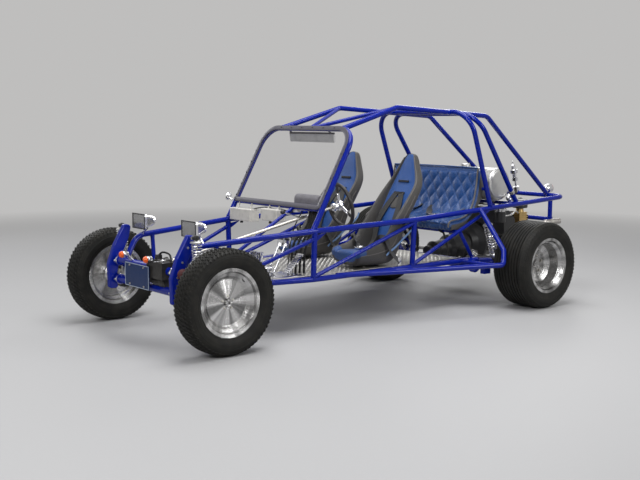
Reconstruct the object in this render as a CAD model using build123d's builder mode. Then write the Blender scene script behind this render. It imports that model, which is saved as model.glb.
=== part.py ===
"""Open four-seat dune buggy with a welded tube frame and a rear engine.

Frame of reference: +X forward, +Y to the buggy's left, +Z up, millimetres.
The origin lies on the ground, below the middle of the whole buggy.
Lengthwise places are given as a distance "back" behind the front axle.
"""
import math
import os
from build123d import *

os.makedirs("parts", exist_ok=True)

# Driving dimensions
FRONT_AXLE_X = 1671.0          # front axle's place ahead of the origin
WHEELBASE = 2738.0
FRONT_WHEEL_Y = 703.5          # middle plane of a front wheel
REAR_WHEEL_Y = 835.0           # middle plane of a rear wheel
FRONT_TYRE_R = 322.0
REAR_TYRE_R = 325.0
FRONT_TYRE_W = 170.0
REAR_TYRE_W = 300.0
RIM_LIP_R = 208.0              # 15 inch rims
FRONT_RIM_W = 124.0            # lip to lip
REAR_RIM_W = 272.0

TUBE_R = 19.0                  # main frame tube, 38 mm
BRACE_R = 14.0                 # braces
THIN_R = 12.5                  # floor stringers and small braces
RAIL_Y = 508.0                 # upper side rail
FLOOR_RAIL_Y = 490.0           # lower side rail
FLOOR_RAIL_Z = 345.0
TORSION_BACK = 2350.0          # housing of the rear torsion bars
TORSION_Z = 322.0
TORSION_R = 36.0
HOOP_BACK = 838.0              # windshield hoop's foot
HOOP_FOOT_Z = 672.0
HOOP_LEAN = 0.56               # millimetres back for each millimetre up
HOOP_TOP_Z = 1339.0
HOOP_HALF_W = 500.0
HOOP_BEND_R = 150.0
COWL_Z = 806.0                 # cross tube under the windshield
REAR_BAR_BACK = 3595.0
REAR_BAR_Z = 778.0
TANK_BAR_BACK = 2951.0         # cross tube that carries the tank
TANK_BAR_Z = 748.0
SHEET_T = 5.0

BEAM_BACK = -130.0             # front beam, ahead of the axle
BEAM_UPPER_Z = 465.0
BEAM_LOWER_Z = 340.0
BEAM_TUBE_R = 27.0
KINGPIN_Y = 585.0
PIN_R = 10.0
PIN_BORE_R = 10.3
STEER_ARM = 95.0               # steering arms and pitman arm, all equal and parallel
TIE_ROD_Z = 405.0
TIE_ROD_GAP_Z = 15.0           # the two rods pass the pitman arm above and below this level
ROD_PIN_R = 6.0
ROD_BORE_R = 6.3
PITMAN_Y = 110.0
COLUMN_LOW = (-44.0, 150.0, 502.0)
COLUMN_HUB = (1221.0, 325.0, 812.0)
STEERING_WHEEL_R = 165.0
GRIP_R = 13.0

SEAT_Y = 322.0
SEAT_HALF_W = 163.0
BENCH_HALF_W = 465.0
BENCH_BAR_BACK = 2262.0        # cross tube under the bench
BENCH_BAR_Z = 568.0
TANK_BACK = 2866.0
TANK_Z = 900.0
TANK_R = 128.0
TANK_HALF_L = 375.0
CRANK_Z = 400.0
CASE_FRONT_BACK = 2975.0       # engine's front face, where the bellhousing starts
CASE_REAR_BACK = 3385.0
BANK_BACK = 3190.0             # middle of a pair of cylinders
BORE_PITCH = 112.0
HEAD_Y = 330.0                 # middle of a cylinder head
FIN_T = 4.0
CARB_BACK = 3285.0
CARB_Y = 240.0
PLATE_BACK = -196.0            # middle of the plate's thickness
PLATE_Z = 410.0
PLATE_HOLES_Y = 177.8          # bolt pattern of the plate
PLATE_HOLES_Z = 120.6
PLATE_HOLE_R = 3.5


def at(back, y, z):
    """Point at a distance behind the front axle."""
    return Vector(FRONT_AXLE_X - back, y, z)


def along(start, end):
    """Plane at start whose normal points to end."""
    a = at(*start)
    return Plane(origin=a, z_dir=at(*end) - a)


def rod(start, end, radius):
    """Straight round bar between two points, added to the part being built."""
    length = (at(*end) - at(*start)).length
    with Locations(along(start, end)):
        Cylinder(radius, length, align=(Align.CENTER, Align.CENTER, Align.MIN))


def turned(start, end, profile):
    """Turned piece on the line from start to end; profile rows are distance, radius."""
    axis = along(start, end)
    with BuildSketch(Plane(origin=axis.origin, x_dir=axis.z_dir, z_dir=axis.y_dir)) as section:
        with BuildLine():
            Polyline(profile, close=True)
        make_face()
    revolve(section.sketch, axis=Axis(axis.origin, axis.z_dir), revolution_arc=360)


def bent(points, bend_radius, radius):
    """Bent tube through the given points, added to the part being built."""
    with BuildLine(mode=Mode.PRIVATE) as path:
        FilletPolyline(*[at(*p) for p in points], radius=bend_radius)
    with BuildSketch(along(points[0], points[1])) as section:
        Circle(radius)
    sweep(section.sketch, path=path.line)


def cross(back, half_width, z, radius):
    """Straight bar from side to side."""
    rod((back, -half_width, z), (back, half_width, z), radius)


def block(back, y, z, length, width, height):
    """Straight box centred on a point."""
    with Locations(at(back, y, z)):
        Box(length, width, height)


def without(*others):
    """Cut away the pieces that this one is welded to."""
    for other in others:
        add(other.part, mode=Mode.SUBTRACT)


def hoop_back(z):
    """Distance behind the front axle of the windshield hoop's plane."""
    return HOOP_BACK + HOOP_LEAN * (z - HOOP_FOOT_Z)


def finish(piece, label):
    """Name the piece and write it."""
    piece.part.label = label
    export_step(piece.part, f"parts/{label}.step")


# Frame
LOWER_RAIL = [(-105, 318, 345), (560, 432, 345), (850, 490, 345), (2470, 490, 345)]
UPPER_RAIL = [(-110, 340, 430), (15, 380, 617), (842, RAIL_Y, 670), (1775, RAIL_Y, 690), (2600, RAIL_Y, 732)]
UPPER_RAIL_BENDS = [130, 500, 500]
# floor cross tubes: back, half length
FLOOR_CROSSES = [(146, 358), (560, 430), (847, 488), (1300, 488), (1770, 488)]

with BuildPart() as floor_frame:
    for side in (-1, 1):
        bent([(b, side * y, z) for b, y, z in LOWER_RAIL], 160, TUBE_R)
        rod((560, side * 160, FLOOR_RAIL_Z), (2340, side * 160, FLOOR_RAIL_Z), THIN_R)
    for back, half in FLOOR_CROSSES:
        cross(back, half, FLOOR_RAIL_Z, BRACE_R)
    cross(TORSION_BACK, 556, TORSION_Z, TORSION_R)
    cross(BENCH_BAR_BACK, 497, BENCH_BAR_Z, BRACE_R)
finish(floor_frame, "floor_frame")

# posts and diagonals of the left side: start, end, radius
SIDE_TUBES = [
    ((846, 506, 668), (848, 492, 345), TUBE_R),
    ((1772, 508, 690), (1770, 492, 345), TUBE_R),
    ((842, 506, 618), (146, 388, 352), BRACE_R),
    ((850, 494, 362), (1776, 508, 672), BRACE_R),
    ((1770, 494, 362), (2570, 508, 718), BRACE_R),
    ((2262, 503, 568), (2425, 492, 350), BRACE_R),
    ((146, 398, 622), (146, 366, 345), BRACE_R),
]
GUSSET = [(862, 640), (862, 600), (950, 655)]      # back, z of the plate under the near rail


def side_frame(side):
    """Upper rail, posts, diagonals and corner plate of one side."""
    with BuildPart() as piece:
        bent([(b, side * y, z) for b, y, z in UPPER_RAIL], UPPER_RAIL_BENDS, TUBE_R)
        for start, end, radius in SIDE_TUBES:
            rod((start[0], side * start[1], start[2]), (end[0], side * end[1], end[2]), radius)
        with BuildSketch(Plane.XZ.offset(-side * 505)):
            with BuildLine():
                Polyline([(FRONT_AXLE_X - b, z) for b, z in GUSSET], close=True)
            make_face()
        extrude(amount=2, both=True)
        without(floor_frame)
    return piece


left_side_frame = side_frame(1)
finish(left_side_frame, "left_side_frame")
right_side_frame = side_frame(-1)
finish(right_side_frame, "right_side_frame")

# outer bars that guard the rear tyres
SIDE_BAR = [(1060, 478, 350), (2345, 862, 352), (2400, 815, 450), (2478, 512, 728)]

with BuildPart() as side_bars:
    for side in (-1, 1):
        bent([(b, side * y, z) for b, y, z in SIDE_BAR], 42, TUBE_R)
        rod((2283, side * 490, 350), (2283, side * 842, 351), THIN_R)
    without(floor_frame, left_side_frame, right_side_frame)
finish(side_bars, "side_bars")

HOOP = [(hoop_back(HOOP_FOOT_Z), -HOOP_HALF_W, HOOP_FOOT_Z),
        (hoop_back(HOOP_TOP_Z), -HOOP_HALF_W, HOOP_TOP_Z),
        (hoop_back(HOOP_TOP_Z), HOOP_HALF_W, HOOP_TOP_Z),
        (hoop_back(HOOP_FOOT_Z), HOOP_HALF_W, HOOP_FOOT_Z)]

with BuildPart() as windshield_hoop:
    bent(HOOP, HOOP_BEND_R, TUBE_R)
    cross(hoop_back(COWL_Z), HOOP_HALF_W, COWL_Z, 16)
    rod((hoop_back(COWL_Z), 200, COWL_Z), (150, 180, 352), THIN_R)
    without(floor_frame, left_side_frame, right_side_frame)
finish(windshield_hoop, "windshield_hoop")

with BuildPart() as main_hoop:
    bent([(2596, -510, 742), (2337, -510, 1468), (2337, 510, 1468), (2596, 510, 742)], 175, TUBE_R)
    cross(2556, 505, 880, 13)
    without(left_side_frame, right_side_frame)
finish(main_hoop, "main_hoop")

# rear rail: goes on in line with the side rail, then bends inward to the rear bar
REAR_RAIL = [(2600, RAIL_Y, 732), (2720, RAIL_Y, 738.109), (REAR_BAR_BACK, 462, REAR_BAR_Z)]
REAR_RAIL_BENDS = [500, 105, 105, 500]
REAR_POST_Y = 315
ENGINE_BAR_Z = 575             # low rear bar that carries the engine
HANGER_Y = 95

with BuildPart() as rear_cage:
    bent(REAR_RAIL + [(b, -y, z) for b, y, z in reversed(REAR_RAIL)], REAR_RAIL_BENDS, TUBE_R)
    for side in (-1, 1):
        rod((REAR_BAR_BACK, side * REAR_POST_Y, REAR_BAR_Z),
            (REAR_BAR_BACK, side * REAR_POST_Y, ENGINE_BAR_Z), TUBE_R)
        rod((REAR_BAR_BACK, side * HANGER_Y, ENGINE_BAR_Z),
            (CASE_REAR_BACK - 20, side * HANGER_Y, 490), THIN_R)
    cross(REAR_BAR_BACK, REAR_POST_Y + TUBE_R, ENGINE_BAR_Z, TUBE_R)
    cross(TANK_BAR_BACK, 490, TANK_BAR_Z, 15)
    without(main_hoop, left_side_frame, right_side_frame)
finish(rear_cage, "rear_cage")

with BuildPart() as rear_hoop:
    bent([(2951, -479, 745), (2450, -479, 1456), (2450, 479, 1456), (2951, 479, 745)], 175, TUBE_R)
    without(rear_cage)
finish(rear_hoop, "rear_hoop")

ROOF_RAIL = [(1213, 345, 1337), (1766, 316, 1494), (2755, 311, 1440), (3590, 287, 782)]

with BuildPart() as roof_frame:
    bent(ROOF_RAIL, 110, TUBE_R)
    rod((hoop_back(HOOP_TOP_Z), 0, HOOP_TOP_Z), (1755, 312, 1490), BRACE_R)
    without(windshield_hoop, main_hoop, rear_hoop, rear_cage)
    mirror(about=Plane.XZ)
finish(roof_frame, "roof_frame")

# Windshield, mirrors and floor
SCREEN_MIDDLE_Z = 1075.0
SCREEN_FOOT_Z = 795.0
screen_plane = Plane(origin=at(hoop_back(SCREEN_MIDDLE_Z), 0, SCREEN_MIDDLE_Z), x_dir=(0, 1, 0),
                     z_dir=Vector(1, 0, HOOP_LEAN))
SCREEN_SLOPE = math.sqrt(1 + HOOP_LEAN ** 2)
SCREEN_UP = (HOOP_TOP_Z + 8 - SCREEN_MIDDLE_Z) * SCREEN_SLOPE
SCREEN_DOWN = (SCREEN_MIDDLE_Z - SCREEN_FOOT_Z) * SCREEN_SLOPE

with BuildPart() as windshield:
    with BuildSketch(screen_plane.offset(TUBE_R + 1)):
        with BuildLine():
            FilletPolyline([(-HOOP_HALF_W, -SCREEN_DOWN), (-HOOP_HALF_W, SCREEN_UP),
                            (HOOP_HALF_W, SCREEN_UP), (HOOP_HALF_W, -SCREEN_DOWN)],
                           radius=HOOP_BEND_R)
            Line((HOOP_HALF_W, -SCREEN_DOWN), (-HOOP_HALF_W, -SCREEN_DOWN))
        make_face()
    extrude(amount=SHEET_T)
    without(windshield_hoop)
finish(windshield, "windshield")

with BuildPart() as mirrors:
    with Locations(Location(at(1255, -30, 1278), (0, 8, 0))):
        Box(14, 500, 72)
    fillet(mirrors.edges().filter_by(Axis.Y), 5)
    for y in (-255, 190):
        rod((1258, y, 1305), (hoop_back(HOOP_TOP_Z) + 8, y, 1325), 5)
    turned((874, -522, 834), (862, -542, 842), [(0, 0), (0, 24), (6, 30), (18, 30), (22, 26), (22, 0)])
    rod((878, -500, 812), (866, -534, 838), 6)
    without(windshield_hoop)
finish(mirrors, "mirrors")

# floor sheet: back, half width at its corners
FLOOR = [(585, 405), (835, 455), (2290, 455)]

with BuildPart() as floor_pan:
    with BuildSketch(Plane.XY.offset(FLOOR_RAIL_Z + 15)):
        with BuildLine():
            Polyline([at(b, y, 0) for b, y in FLOOR] + [at(b, -y, 0) for b, y in reversed(FLOOR)],
                     close=True)
        make_face()
    extrude(amount=3)
finish(floor_pan, "floor_pan")

# Front suspension: outline of a shock tower, ahead of the axle and above the ground
TOWER = [(72, 702), (22, 690), (40, 610), (114, 452), (134, 350), (126, 272), (190, 276),
         (195, 440), (152, 563)]
TOWER_Y = 400
LOWER_ARM_Z = 262
UPPER_ARM_Z = 384
ARM_TIP_Y = 530


def shock_tower(side):
    """Thick plate with rounded edges that carries one front spring unit."""
    with BuildPart() as piece:
        with BuildSketch(Plane.XZ.offset(-side * TOWER_Y)) as outline:
            with BuildLine():
                Polyline([(FRONT_AXLE_X + x, z) for x, z in TOWER], close=True)
            make_face()
            fillet(outline.vertices(), 20)
        extrude(amount=20, both=True)
        fillet(piece.edges().group_by(Axis.Y)[0] + piece.edges().group_by(Axis.Y)[-1], 9)
    return piece.part


towers = [shock_tower(side) for side in (-1, 1)]

with BuildPart() as front_beam:
    for z in (BEAM_UPPER_Z, BEAM_LOWER_Z):
        cross(BEAM_BACK, 430, z, BEAM_TUBE_R)
        for y in (-350, 350):
            rod((BEAM_BACK, y - 16, z), (BEAM_BACK, y + 16, z), BEAM_TUBE_R + 6)
    for tower in towers:
        add(tower)
    without(floor_frame, left_side_frame, right_side_frame)
finish(front_beam, "front_beam")

with BuildPart() as front_arms:
    for side in (-1, 1):
        for z_root, z_tip in ((BEAM_UPPER_Z, UPPER_ARM_Z), (BEAM_LOWER_Z, LOWER_ARM_Z)):
            rod((BEAM_BACK, side * 431, z_root), (BEAM_BACK, side * 462, z_root), 30)
            rod((BEAM_BACK, side * 447, z_root), (0, side * ARM_TIP_Y, z_tip), 14)
            with Locations(at(0, side * (KINGPIN_Y + ARM_TIP_Y) / 2, z_tip)):
                Box(40, KINGPIN_Y - ARM_TIP_Y + 44, 22)
        rod((0, side * ARM_TIP_Y, LOWER_ARM_Z), (0, side * ARM_TIP_Y, UPPER_ARM_Z), 13)
        with Locations(at(0, side * KINGPIN_Y, 325)):
            Cylinder(PIN_BORE_R, 200, mode=Mode.SUBTRACT)
    fillet(front_arms.edges().filter_by(Axis.Z).group_by(Axis.Z)[0], 8)
finish(front_arms, "front_arms")


def spindle(side):
    """Steering knuckle with its arm, pin and stub axle."""
    y = side * KINGPIN_Y
    with BuildPart() as piece:
        rod((0, y, 275), (0, y, 371), 21)
        rod((0, y, 248), (0, y, 398), PIN_R)
        turned((0, y, FRONT_TYRE_R), (0, side * 700, FRONT_TYRE_R),
               [(0, 0), (0, 26), (43, 22), (43, 12), (115, 12), (115, 0)])
        rod((5, y, 345), (STEER_ARM - 30, y, 358), 10)
        rod((STEER_ARM - 30, y, 358), (STEER_ARM, y, 385), 10)
        rod((STEER_ARM, y, 374), (STEER_ARM, y, 393), 13)
        rod((STEER_ARM, y, 390), (STEER_ARM, y, 414), ROD_PIN_R)
    return piece


left_spindle = spindle(1)
finish(left_spindle, "left_spindle")
right_spindle = spindle(-1)
finish(right_spindle, "right_spindle")

# coil springs over dampers: top eye, bottom eye, where the spring starts and ends
COILOVERS = [
    ((-50, 464, 684), (-22, 484, 278), 0.07, 0.60),
    ((2505, 556, 640), (2600, 566, 345), 0.10, 0.86),
]
SPRING_R = 36
DAMPER_R = 20

with BuildPart() as coilovers:
    for side in (-1, 1):
        for top, bottom, first, last in COILOVERS:
            a = (top[0], side * top[1], top[2])
            b = (bottom[0], side * bottom[1], bottom[2])
            length = (at(*b) - at(*a)).length
            turned(a, b, [(0, 0), (0, 14), (length * first - 8, 14), (length * first - 8, SPRING_R + 3),
                          (length * first, SPRING_R + 3), (length * first, SPRING_R),
                          (length * last, SPRING_R), (length * last, SPRING_R + 3),
                          (length * last + 7, SPRING_R + 3), (length * last + 7, DAMPER_R),
                          (length - 20, DAMPER_R), (length, 12), (length, 0)])
            for end in (a, b):
                rod((end[0], end[1] - 17, end[2]), (end[0], end[1] + 17, end[2]), 15)
    without(front_arms, front_beam)
finish(coilovers, "coilovers")


# Wheels
def rim(back, y, radius_z, side, width, face):
    """Rim and disc of one wheel; face rows are depth below the outer lip, radius."""
    half = width / 2
    disc = [(half, RIM_LIP_R)] + [(half - depth, r) for depth, r in face]
    barrel = [(half * 0.1, 160), (-half * 0.30, 160), (-half * 0.46, 180), (-half + 3, 186),
             (-half, RIM_LIP_R), (-half + 6, RIM_LIP_R), (-half + 8, 192), (-half * 0.42, 187),
             (-half * 0.26, 167), (half * 0.25, 167), (half * 0.45, 187), (half - 8, 192),
             (half - 6, RIM_LIP_R)]
    with BuildPart() as piece:
        with BuildSketch(Plane.YZ.offset(FRONT_AXLE_X - back)):
            with BuildLine():
                Polyline([(y + side * u, radius_z + r) for u, r in disc + barrel], close=True)
            make_face()
        revolve(axis=Axis(at(back, y, radius_z), (0, 1, 0)), revolution_arc=360)
    return piece


def tyre(back, y, radius, width, rim_width):
    """Tyre body that sits on the rim: bead, bulging side wall, shoulder and flat tread."""
    half = width / 2
    seat = rim_width / 2 - 7
    tread_r = radius * 0.985
    shoulder_r = radius * 0.975 - 14
    with BuildPart() as piece:
        with BuildSketch(Plane.YZ.offset(FRONT_AXLE_X - back)):
            with BuildLine():
                Polyline([(y + half - 24, radius + tread_r), (y + half * 0.4, radius * 2),
                          (y - half * 0.4, radius * 2), (y - half + 24, radius + tread_r)])
                for edge in (-1, 1):
                    Line((y + edge * (half - 24), radius + tread_r),
                         (y + edge * (half - 8), radius + shoulder_r))
                    ThreePointArc((y + edge * (half - 8), radius + shoulder_r),
                                  (y + edge * half, radius + radius * 0.80),
                                  (y + edge * (seat + 4), radius + 209))
                    Line((y + edge * (seat + 4), radius + 209), (y + edge * seat, radius + 192))
                Line((y - seat, radius + 192), (y + seat, radius + 192))
            make_face()
        revolve(axis=Axis(at(back, y, radius), (0, 1, 0)), revolution_arc=360)
    return piece


# discs of the wheels, over the outer face to the axis and back: depth below the outer lip, radius
FRONT_FACE = [(2, 188), (18, 181), (28, 160), (40, 146), (44, 141), (36, 60), (34, 27), (20, 24), (20, 9),
              (32, 9), (32, 0), (40, 0), (43, 60), (52, 140)]
REAR_FACE = [(2, 188), (20, 180), (28, 168), (38, 160), (108, 150), (122, 108), (128, 104), (128, 34),
             (112, 30), (112, 0), (135, 0), (135, 110), (126, 118)]

WHEELS = [
    # name, back, middle plane, tyre radius, tyre width, rim width, face
    ("left_front", 0, FRONT_WHEEL_Y, FRONT_TYRE_R, FRONT_TYRE_W, FRONT_RIM_W, FRONT_FACE),
    ("right_front", 0, -FRONT_WHEEL_Y, FRONT_TYRE_R, FRONT_TYRE_W, FRONT_RIM_W, FRONT_FACE),
    ("left_rear", WHEELBASE, REAR_WHEEL_Y, REAR_TYRE_R, REAR_TYRE_W, REAR_RIM_W, REAR_FACE),
    ("right_rear", WHEELBASE, -REAR_WHEEL_Y, REAR_TYRE_R, REAR_TYRE_W, REAR_RIM_W, REAR_FACE),
]
AXLE_IN_Y = 180                # inner end of a rear axle shaft

for name, back, y, radius, width, rim_width, face in WHEELS:
    side = 1 if y > 0 else -1
    with BuildPart() as wheel:
        add(rim(back, y, radius, side, rim_width, face).part)
        if back == 0:
            turned((back, y - side * 72, radius), (back, y + side * 28, radius),
                   [(0, 12.4), (0, 34), (10, 45), (60, 45), (70, 62), (94, 62), (94, 8), (72, 8),
                    (72, 12.4)])
        else:
            turned((back, side * AXLE_IN_Y, radius), (back, y + side * 6, radius),
                   [(0, 0), (0, 46), (34, 50), (60, 46), (82, 22), (96, 14), (362, 14), (376, 22), (398, 46),
                    (462, 50), (478, 70), (478, 122), (600, 122), (600, 126), (612, 126), (612, 70),
                    (658, 70), (658, 0)])
    finish(wheel, f"{name}_wheel")
    with BuildPart() as tread:
        add(tyre(back, y, radius, width, rim_width).part)
        add(wheel.part, mode=Mode.SUBTRACT)
    finish(tread, f"{name}_tyre")

# Steering
column_low = Vector(*COLUMN_LOW)
column_hub = Vector(*COLUMN_HUB)
column_dir = (column_hub - column_low).normalized()
COLUMN_L = (column_hub - column_low).length


def on_column(distance):
    """Place on the steering column's axis, measured from its lower end."""
    v = column_low + column_dir * distance
    return (v.X, v.Y, v.Z)


with BuildPart() as steering_box:
    turned(on_column(-60), on_column(-2), [(0, 0), (0, 30), (8, 38), (50, 38), (58, 24), (58, 0)])
    rod((0, PITMAN_Y, 422), (0, PITMAN_Y, 478), 34)
    rod((-20, PITMAN_Y + 15, 470), (BEAM_BACK, PITMAN_Y + 15, BEAM_UPPER_Z), 30)
    block(BEAM_BACK - 8, 190, 466, 90, 190, 104)
    turned((BEAM_BACK, 158, 515), (BEAM_BACK, 158, 556),
           [(0, 0), (0, 30), (10, 30), (16, 24), (41, 22), (41, 0)])
    turned((BEAM_BACK, 112, 392), (BEAM_BACK, 262, 392),
           [(0, 0), (0, 26), (12, 34), (138, 34), (150, 26), (150, 0)])
    with Locations(Plane(origin=at(0, PITMAN_Y, 430), z_dir=(0, 0, 1))):
        Cylinder(8.3, 40, mode=Mode.SUBTRACT)
    without(front_beam, floor_frame)
finish(steering_box, "steering_box")

with BuildPart() as pitman_arm:
    rod((0, PITMAN_Y, 398), (0, PITMAN_Y, 412), 17)
    rod((0, PITMAN_Y, TIE_ROD_Z), (0, PITMAN_Y, 446), 8)
    with Locations(at(STEER_ARM / 2, PITMAN_Y, TIE_ROD_Z)):
        Box(STEER_ARM, 22, 10)
    rod((STEER_ARM, PITMAN_Y, 400), (STEER_ARM, PITMAN_Y, 410), 15)
    rod((STEER_ARM, PITMAN_Y, 380), (STEER_ARM, PITMAN_Y, 430), ROD_PIN_R)
finish(pitman_arm, "pitman_arm")

for name, side, pitman_z in (("left_tie_rod", 1, TIE_ROD_Z + TIE_ROD_GAP_Z),
                             ("right_tie_rod", -1, TIE_ROD_Z - TIE_ROD_GAP_Z)):
    inner_end = (STEER_ARM, PITMAN_Y, pitman_z)
    outer_end = (STEER_ARM, side * KINGPIN_Y, TIE_ROD_Z)
    with BuildPart() as tie_rod:
        rod(inner_end, outer_end, 9)
        for back, y, z in (inner_end, outer_end):
            rod((back, y, z - 6.5), (back, y, z + 6.5), 14)
            with Locations(at(back, y, z)):
                Cylinder(ROD_BORE_R, 40, mode=Mode.SUBTRACT)
    finish(tie_rod, name)

with BuildPart() as steering_shaft:
    rod(on_column(0), on_column(COLUMN_L - 5), 10)
    rod(on_column(20), on_column(80), 17)
finish(steering_shaft, "steering_shaft")

wheel_plane = Plane(origin=at(*COLUMN_HUB), x_dir=(0, 1, 0),
                    z_dir=Vector(-column_dir.X, column_dir.Y, column_dir.Z))
grip_plane = Plane(origin=wheel_plane.origin, x_dir=wheel_plane.x_dir, z_dir=wheel_plane.y_dir)

with BuildPart() as steering_wheel:
    with BuildSketch(grip_plane):
        with Locations((STEERING_WHEEL_R - GRIP_R, 0)):
            Circle(GRIP_R)
    revolve(axis=Axis(wheel_plane.origin, wheel_plane.z_dir), revolution_arc=360)
    turned(on_column(COLUMN_L - 62), on_column(COLUMN_L + 20),
           [(0, 0), (0, 26), (12, 30), (20, 20), (44, 20), (50, 38), (62, 38), (78, 26), (82, 0)])
    with BuildSketch(wheel_plane.offset(-3)):
        with PolarLocations(0, 3, start_angle=30):
            with Locations((STEERING_WHEEL_R / 2, 0)):
                Rectangle(STEERING_WHEEL_R - GRIP_R, 26)
                Circle(7, mode=Mode.SUBTRACT)
    extrude(amount=5)
    add(steering_shaft.part, mode=Mode.SUBTRACT)
finish(steering_wheel, "steering_wheel")

# Seats: side outlines as back, z; the front outline as offset, z
SHELL = [(1270, 380), (1650, 372), (1760, 690), (1930, 950), (1945, 1080), (1958, 1165),
         (1905, 1160), (1878, 1080), (1852, 950), (1690, 690), (1610, 478), (1270, 485)]
BOLSTER = [(1250, 380), (1650, 372), (1760, 690), (1930, 950), (1800, 990), (1765, 915),
           (1600, 729), (1512, 645), (1440, 520), (1250, 510)]
BACK_OUTLINE = [(163, 0), (163, 800), (140, 900), (110, 960), (78, 1060), (70, 1140), (45, 1165)]
BOLSTER_HALF_T = 22
SEAT_ROUND = 12


def side_slab(centre, half_width, outline):
    """Slab with the given side outline, added to the part being built."""
    with BuildSketch(Plane.XZ.offset(-centre)) as section:
        with BuildLine():
            Polyline([(FRONT_AXLE_X - b, z) for b, z in outline], close=True)
        make_face()
    extrude(section.sketch, amount=half_width, both=True)


def bucket_seat(centre):
    """One bucket seat: shell, cushion and side bolsters, narrowed to its head rest."""
    with BuildPart() as piece:
        side_slab(centre, SEAT_HALF_W, SHELL)
        for runner in (-110, 110):
            block(1460, centre + runner, 372, 340, 34, 18)
        for edge in (-1, 1):
            side_slab(centre + edge * (SEAT_HALF_W - BOLSTER_HALF_T), BOLSTER_HALF_T, BOLSTER)
        with BuildSketch(Plane.YZ.offset(FRONT_AXLE_X - 2000)):
            with BuildLine():
                Polyline([(centre + y, z) for y, z in BACK_OUTLINE]
                         + [(centre - y, z) for y, z in reversed(BACK_OUTLINE)], close=True)
            make_face()
        extrude(amount=900, mode=Mode.INTERSECT)
    return piece


left_seat = bucket_seat(SEAT_Y)
finish(left_seat, "left_seat")
right_seat = bucket_seat(-SEAT_Y)
finish(right_seat, "right_seat")

BENCH = [(2180, 573), (2290, 573), (2345, 612), (2430, 676), (2490, 736), (2534, 796), (2560, 872),
         (2572, 964), (2560, 1035), (2500, 1045), (2484, 960), (2470, 870), (2448, 790), (2415, 725),
         (2385, 690), (2320, 664), (2210, 645), (2175, 610)]

with BuildPart() as rear_seat:
    side_slab(0, BENCH_HALF_W, BENCH)
    without(floor_frame, main_hoop)
finish(rear_seat, "rear_seat")

# Lamps and plate
HEADLAMP_Y = 312
HEADLAMP_Z = 722

with BuildPart() as headlamps:
    for side in (-1, 1):
        with BuildSketch(Plane.YZ.offset(FRONT_AXLE_X + 4)):
            with Locations((side * HEADLAMP_Y, HEADLAMP_Z)):
                RectangleRounded(168, 104, 20)
        extrude(amount=-16)
        with BuildSketch(Plane.YZ.offset(FRONT_AXLE_X - 12)):
            with Locations((side * HEADLAMP_Y, HEADLAMP_Z)):
                RectangleRounded(156, 94, 24)
        with BuildSketch(Plane.YZ.offset(FRONT_AXLE_X - 84)):
            with Locations((side * HEADLAMP_Y, HEADLAMP_Z)):
                RectangleRounded(92, 76, 36)
        loft()
        with BuildSketch(Plane.YZ.offset(FRONT_AXLE_X - 84)):
            with Locations((side * HEADLAMP_Y, HEADLAMP_Z)):
                RectangleRounded(76, 60, 28)
        extrude(amount=-18)
        rod((60, side * HEADLAMP_Y, 690), (60, side * 380, 625), 9)
    without(left_side_frame, right_side_frame)
finish(headlamps, "headlamps")

with BuildPart() as marker_lamps:
    for side in (-1, 1):
        turned((-172, side * 155, 531), (-238, side * 155, 531),
               [(0, 0), (0, 12), (12, 21), (40, 23), (46, 22), (58, 18), (66, 9), (66, 0)])
        rod((-188, side * 155, 531), (-134, side * 155, 478), 8)
        turned((3545, side * 287, 836), (3636, side * 287, 836),
               [(0, 0), (0, 15), (16, 28), (40, 37), (78, 38), (86, 32), (91, 18), (91, 0)])
        rod((3598, side * 287, 805), (3598, side * 287, 790), 12)
    without(front_beam, rear_cage, roof_frame, steering_box)
finish(marker_lamps, "marker_lamps")

with BuildPart() as blank_plate:
    block(PLATE_BACK, 0, PLATE_Z, 4, 305, 152)
    for y in (-45, 45):
        rod((PLATE_BACK + 1, y, PLATE_Z), (-146, y, 356), 6)
    with Locations(Plane(origin=at(PLATE_BACK, 0, PLATE_Z), z_dir=(1, 0, 0), x_dir=(0, 1, 0))):
        with GridLocations(PLATE_HOLES_Y, PLATE_HOLES_Z, 2, 2):
            Cylinder(PLATE_HOLE_R, 20, mode=Mode.SUBTRACT)
    without(front_beam)
finish(blank_plate, "blank_plate")

# Fuel tank on the cross tube behind the bench, with its canister and the whip's spring foot
CANISTER_Y = 330
with BuildPart() as fuel_tank:
    cross(TANK_BACK, TANK_HALF_L, TANK_Z, TANK_R)
    fillet(fuel_tank.edges().filter_by(GeomType.CIRCLE), 24)
    turned((TANK_BACK, 0, 1015), (TANK_BACK, 0, 1052),
           [(0, 0), (0, 30), (13, 30), (15, 38), (33, 38), (37, 34), (37, 0)])
    for y in (-250, 250):
        rod((TANK_BACK, y, 800), (TANK_BAR_BACK, y, 752), BRACE_R)
    without(rear_cage)
finish(fuel_tank, "fuel_tank")

with BuildPart() as rear_fittings:
    turned((2930, CANISTER_Y, 585), (2930, CANISTER_Y, 706),
           [(0, 0), (0, 36), (8, 44), (88, 44), (90, 36), (98, 36), (100, 42), (112, 42),
            (121, 28), (121, 0)])
    rod((2930, CANISTER_Y, 700), (TANK_BAR_BACK, CANISTER_Y, TANK_BAR_Z), 10)
    turned((TANK_BAR_BACK, 382, 793), (TANK_BAR_BACK, 414, 793),
           [(0, 0), (0, 24), (10, 31), (26, 31), (32, 27), (32, 20), (22, 18), (22, 0)])
    rod((TANK_BAR_BACK, 396, 772), (TANK_BAR_BACK, 396, TANK_BAR_Z), 8)
    turned((REAR_BAR_BACK, -46, REAR_BAR_Z), (REAR_BAR_BACK - 58, -60, 1062),
           [(0, 0), (0, 22), (24, 26), (56, 26), (62, 8), (104, 7), (110, 26), (136, 28), (142, 18),
            (172, 18), (178, 32), (206, 34), (214, 20), (246, 17), (262, 8), (285, 6), (285, 0)])
    without(rear_cage)
finish(rear_fittings, "rear_fittings")

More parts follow.
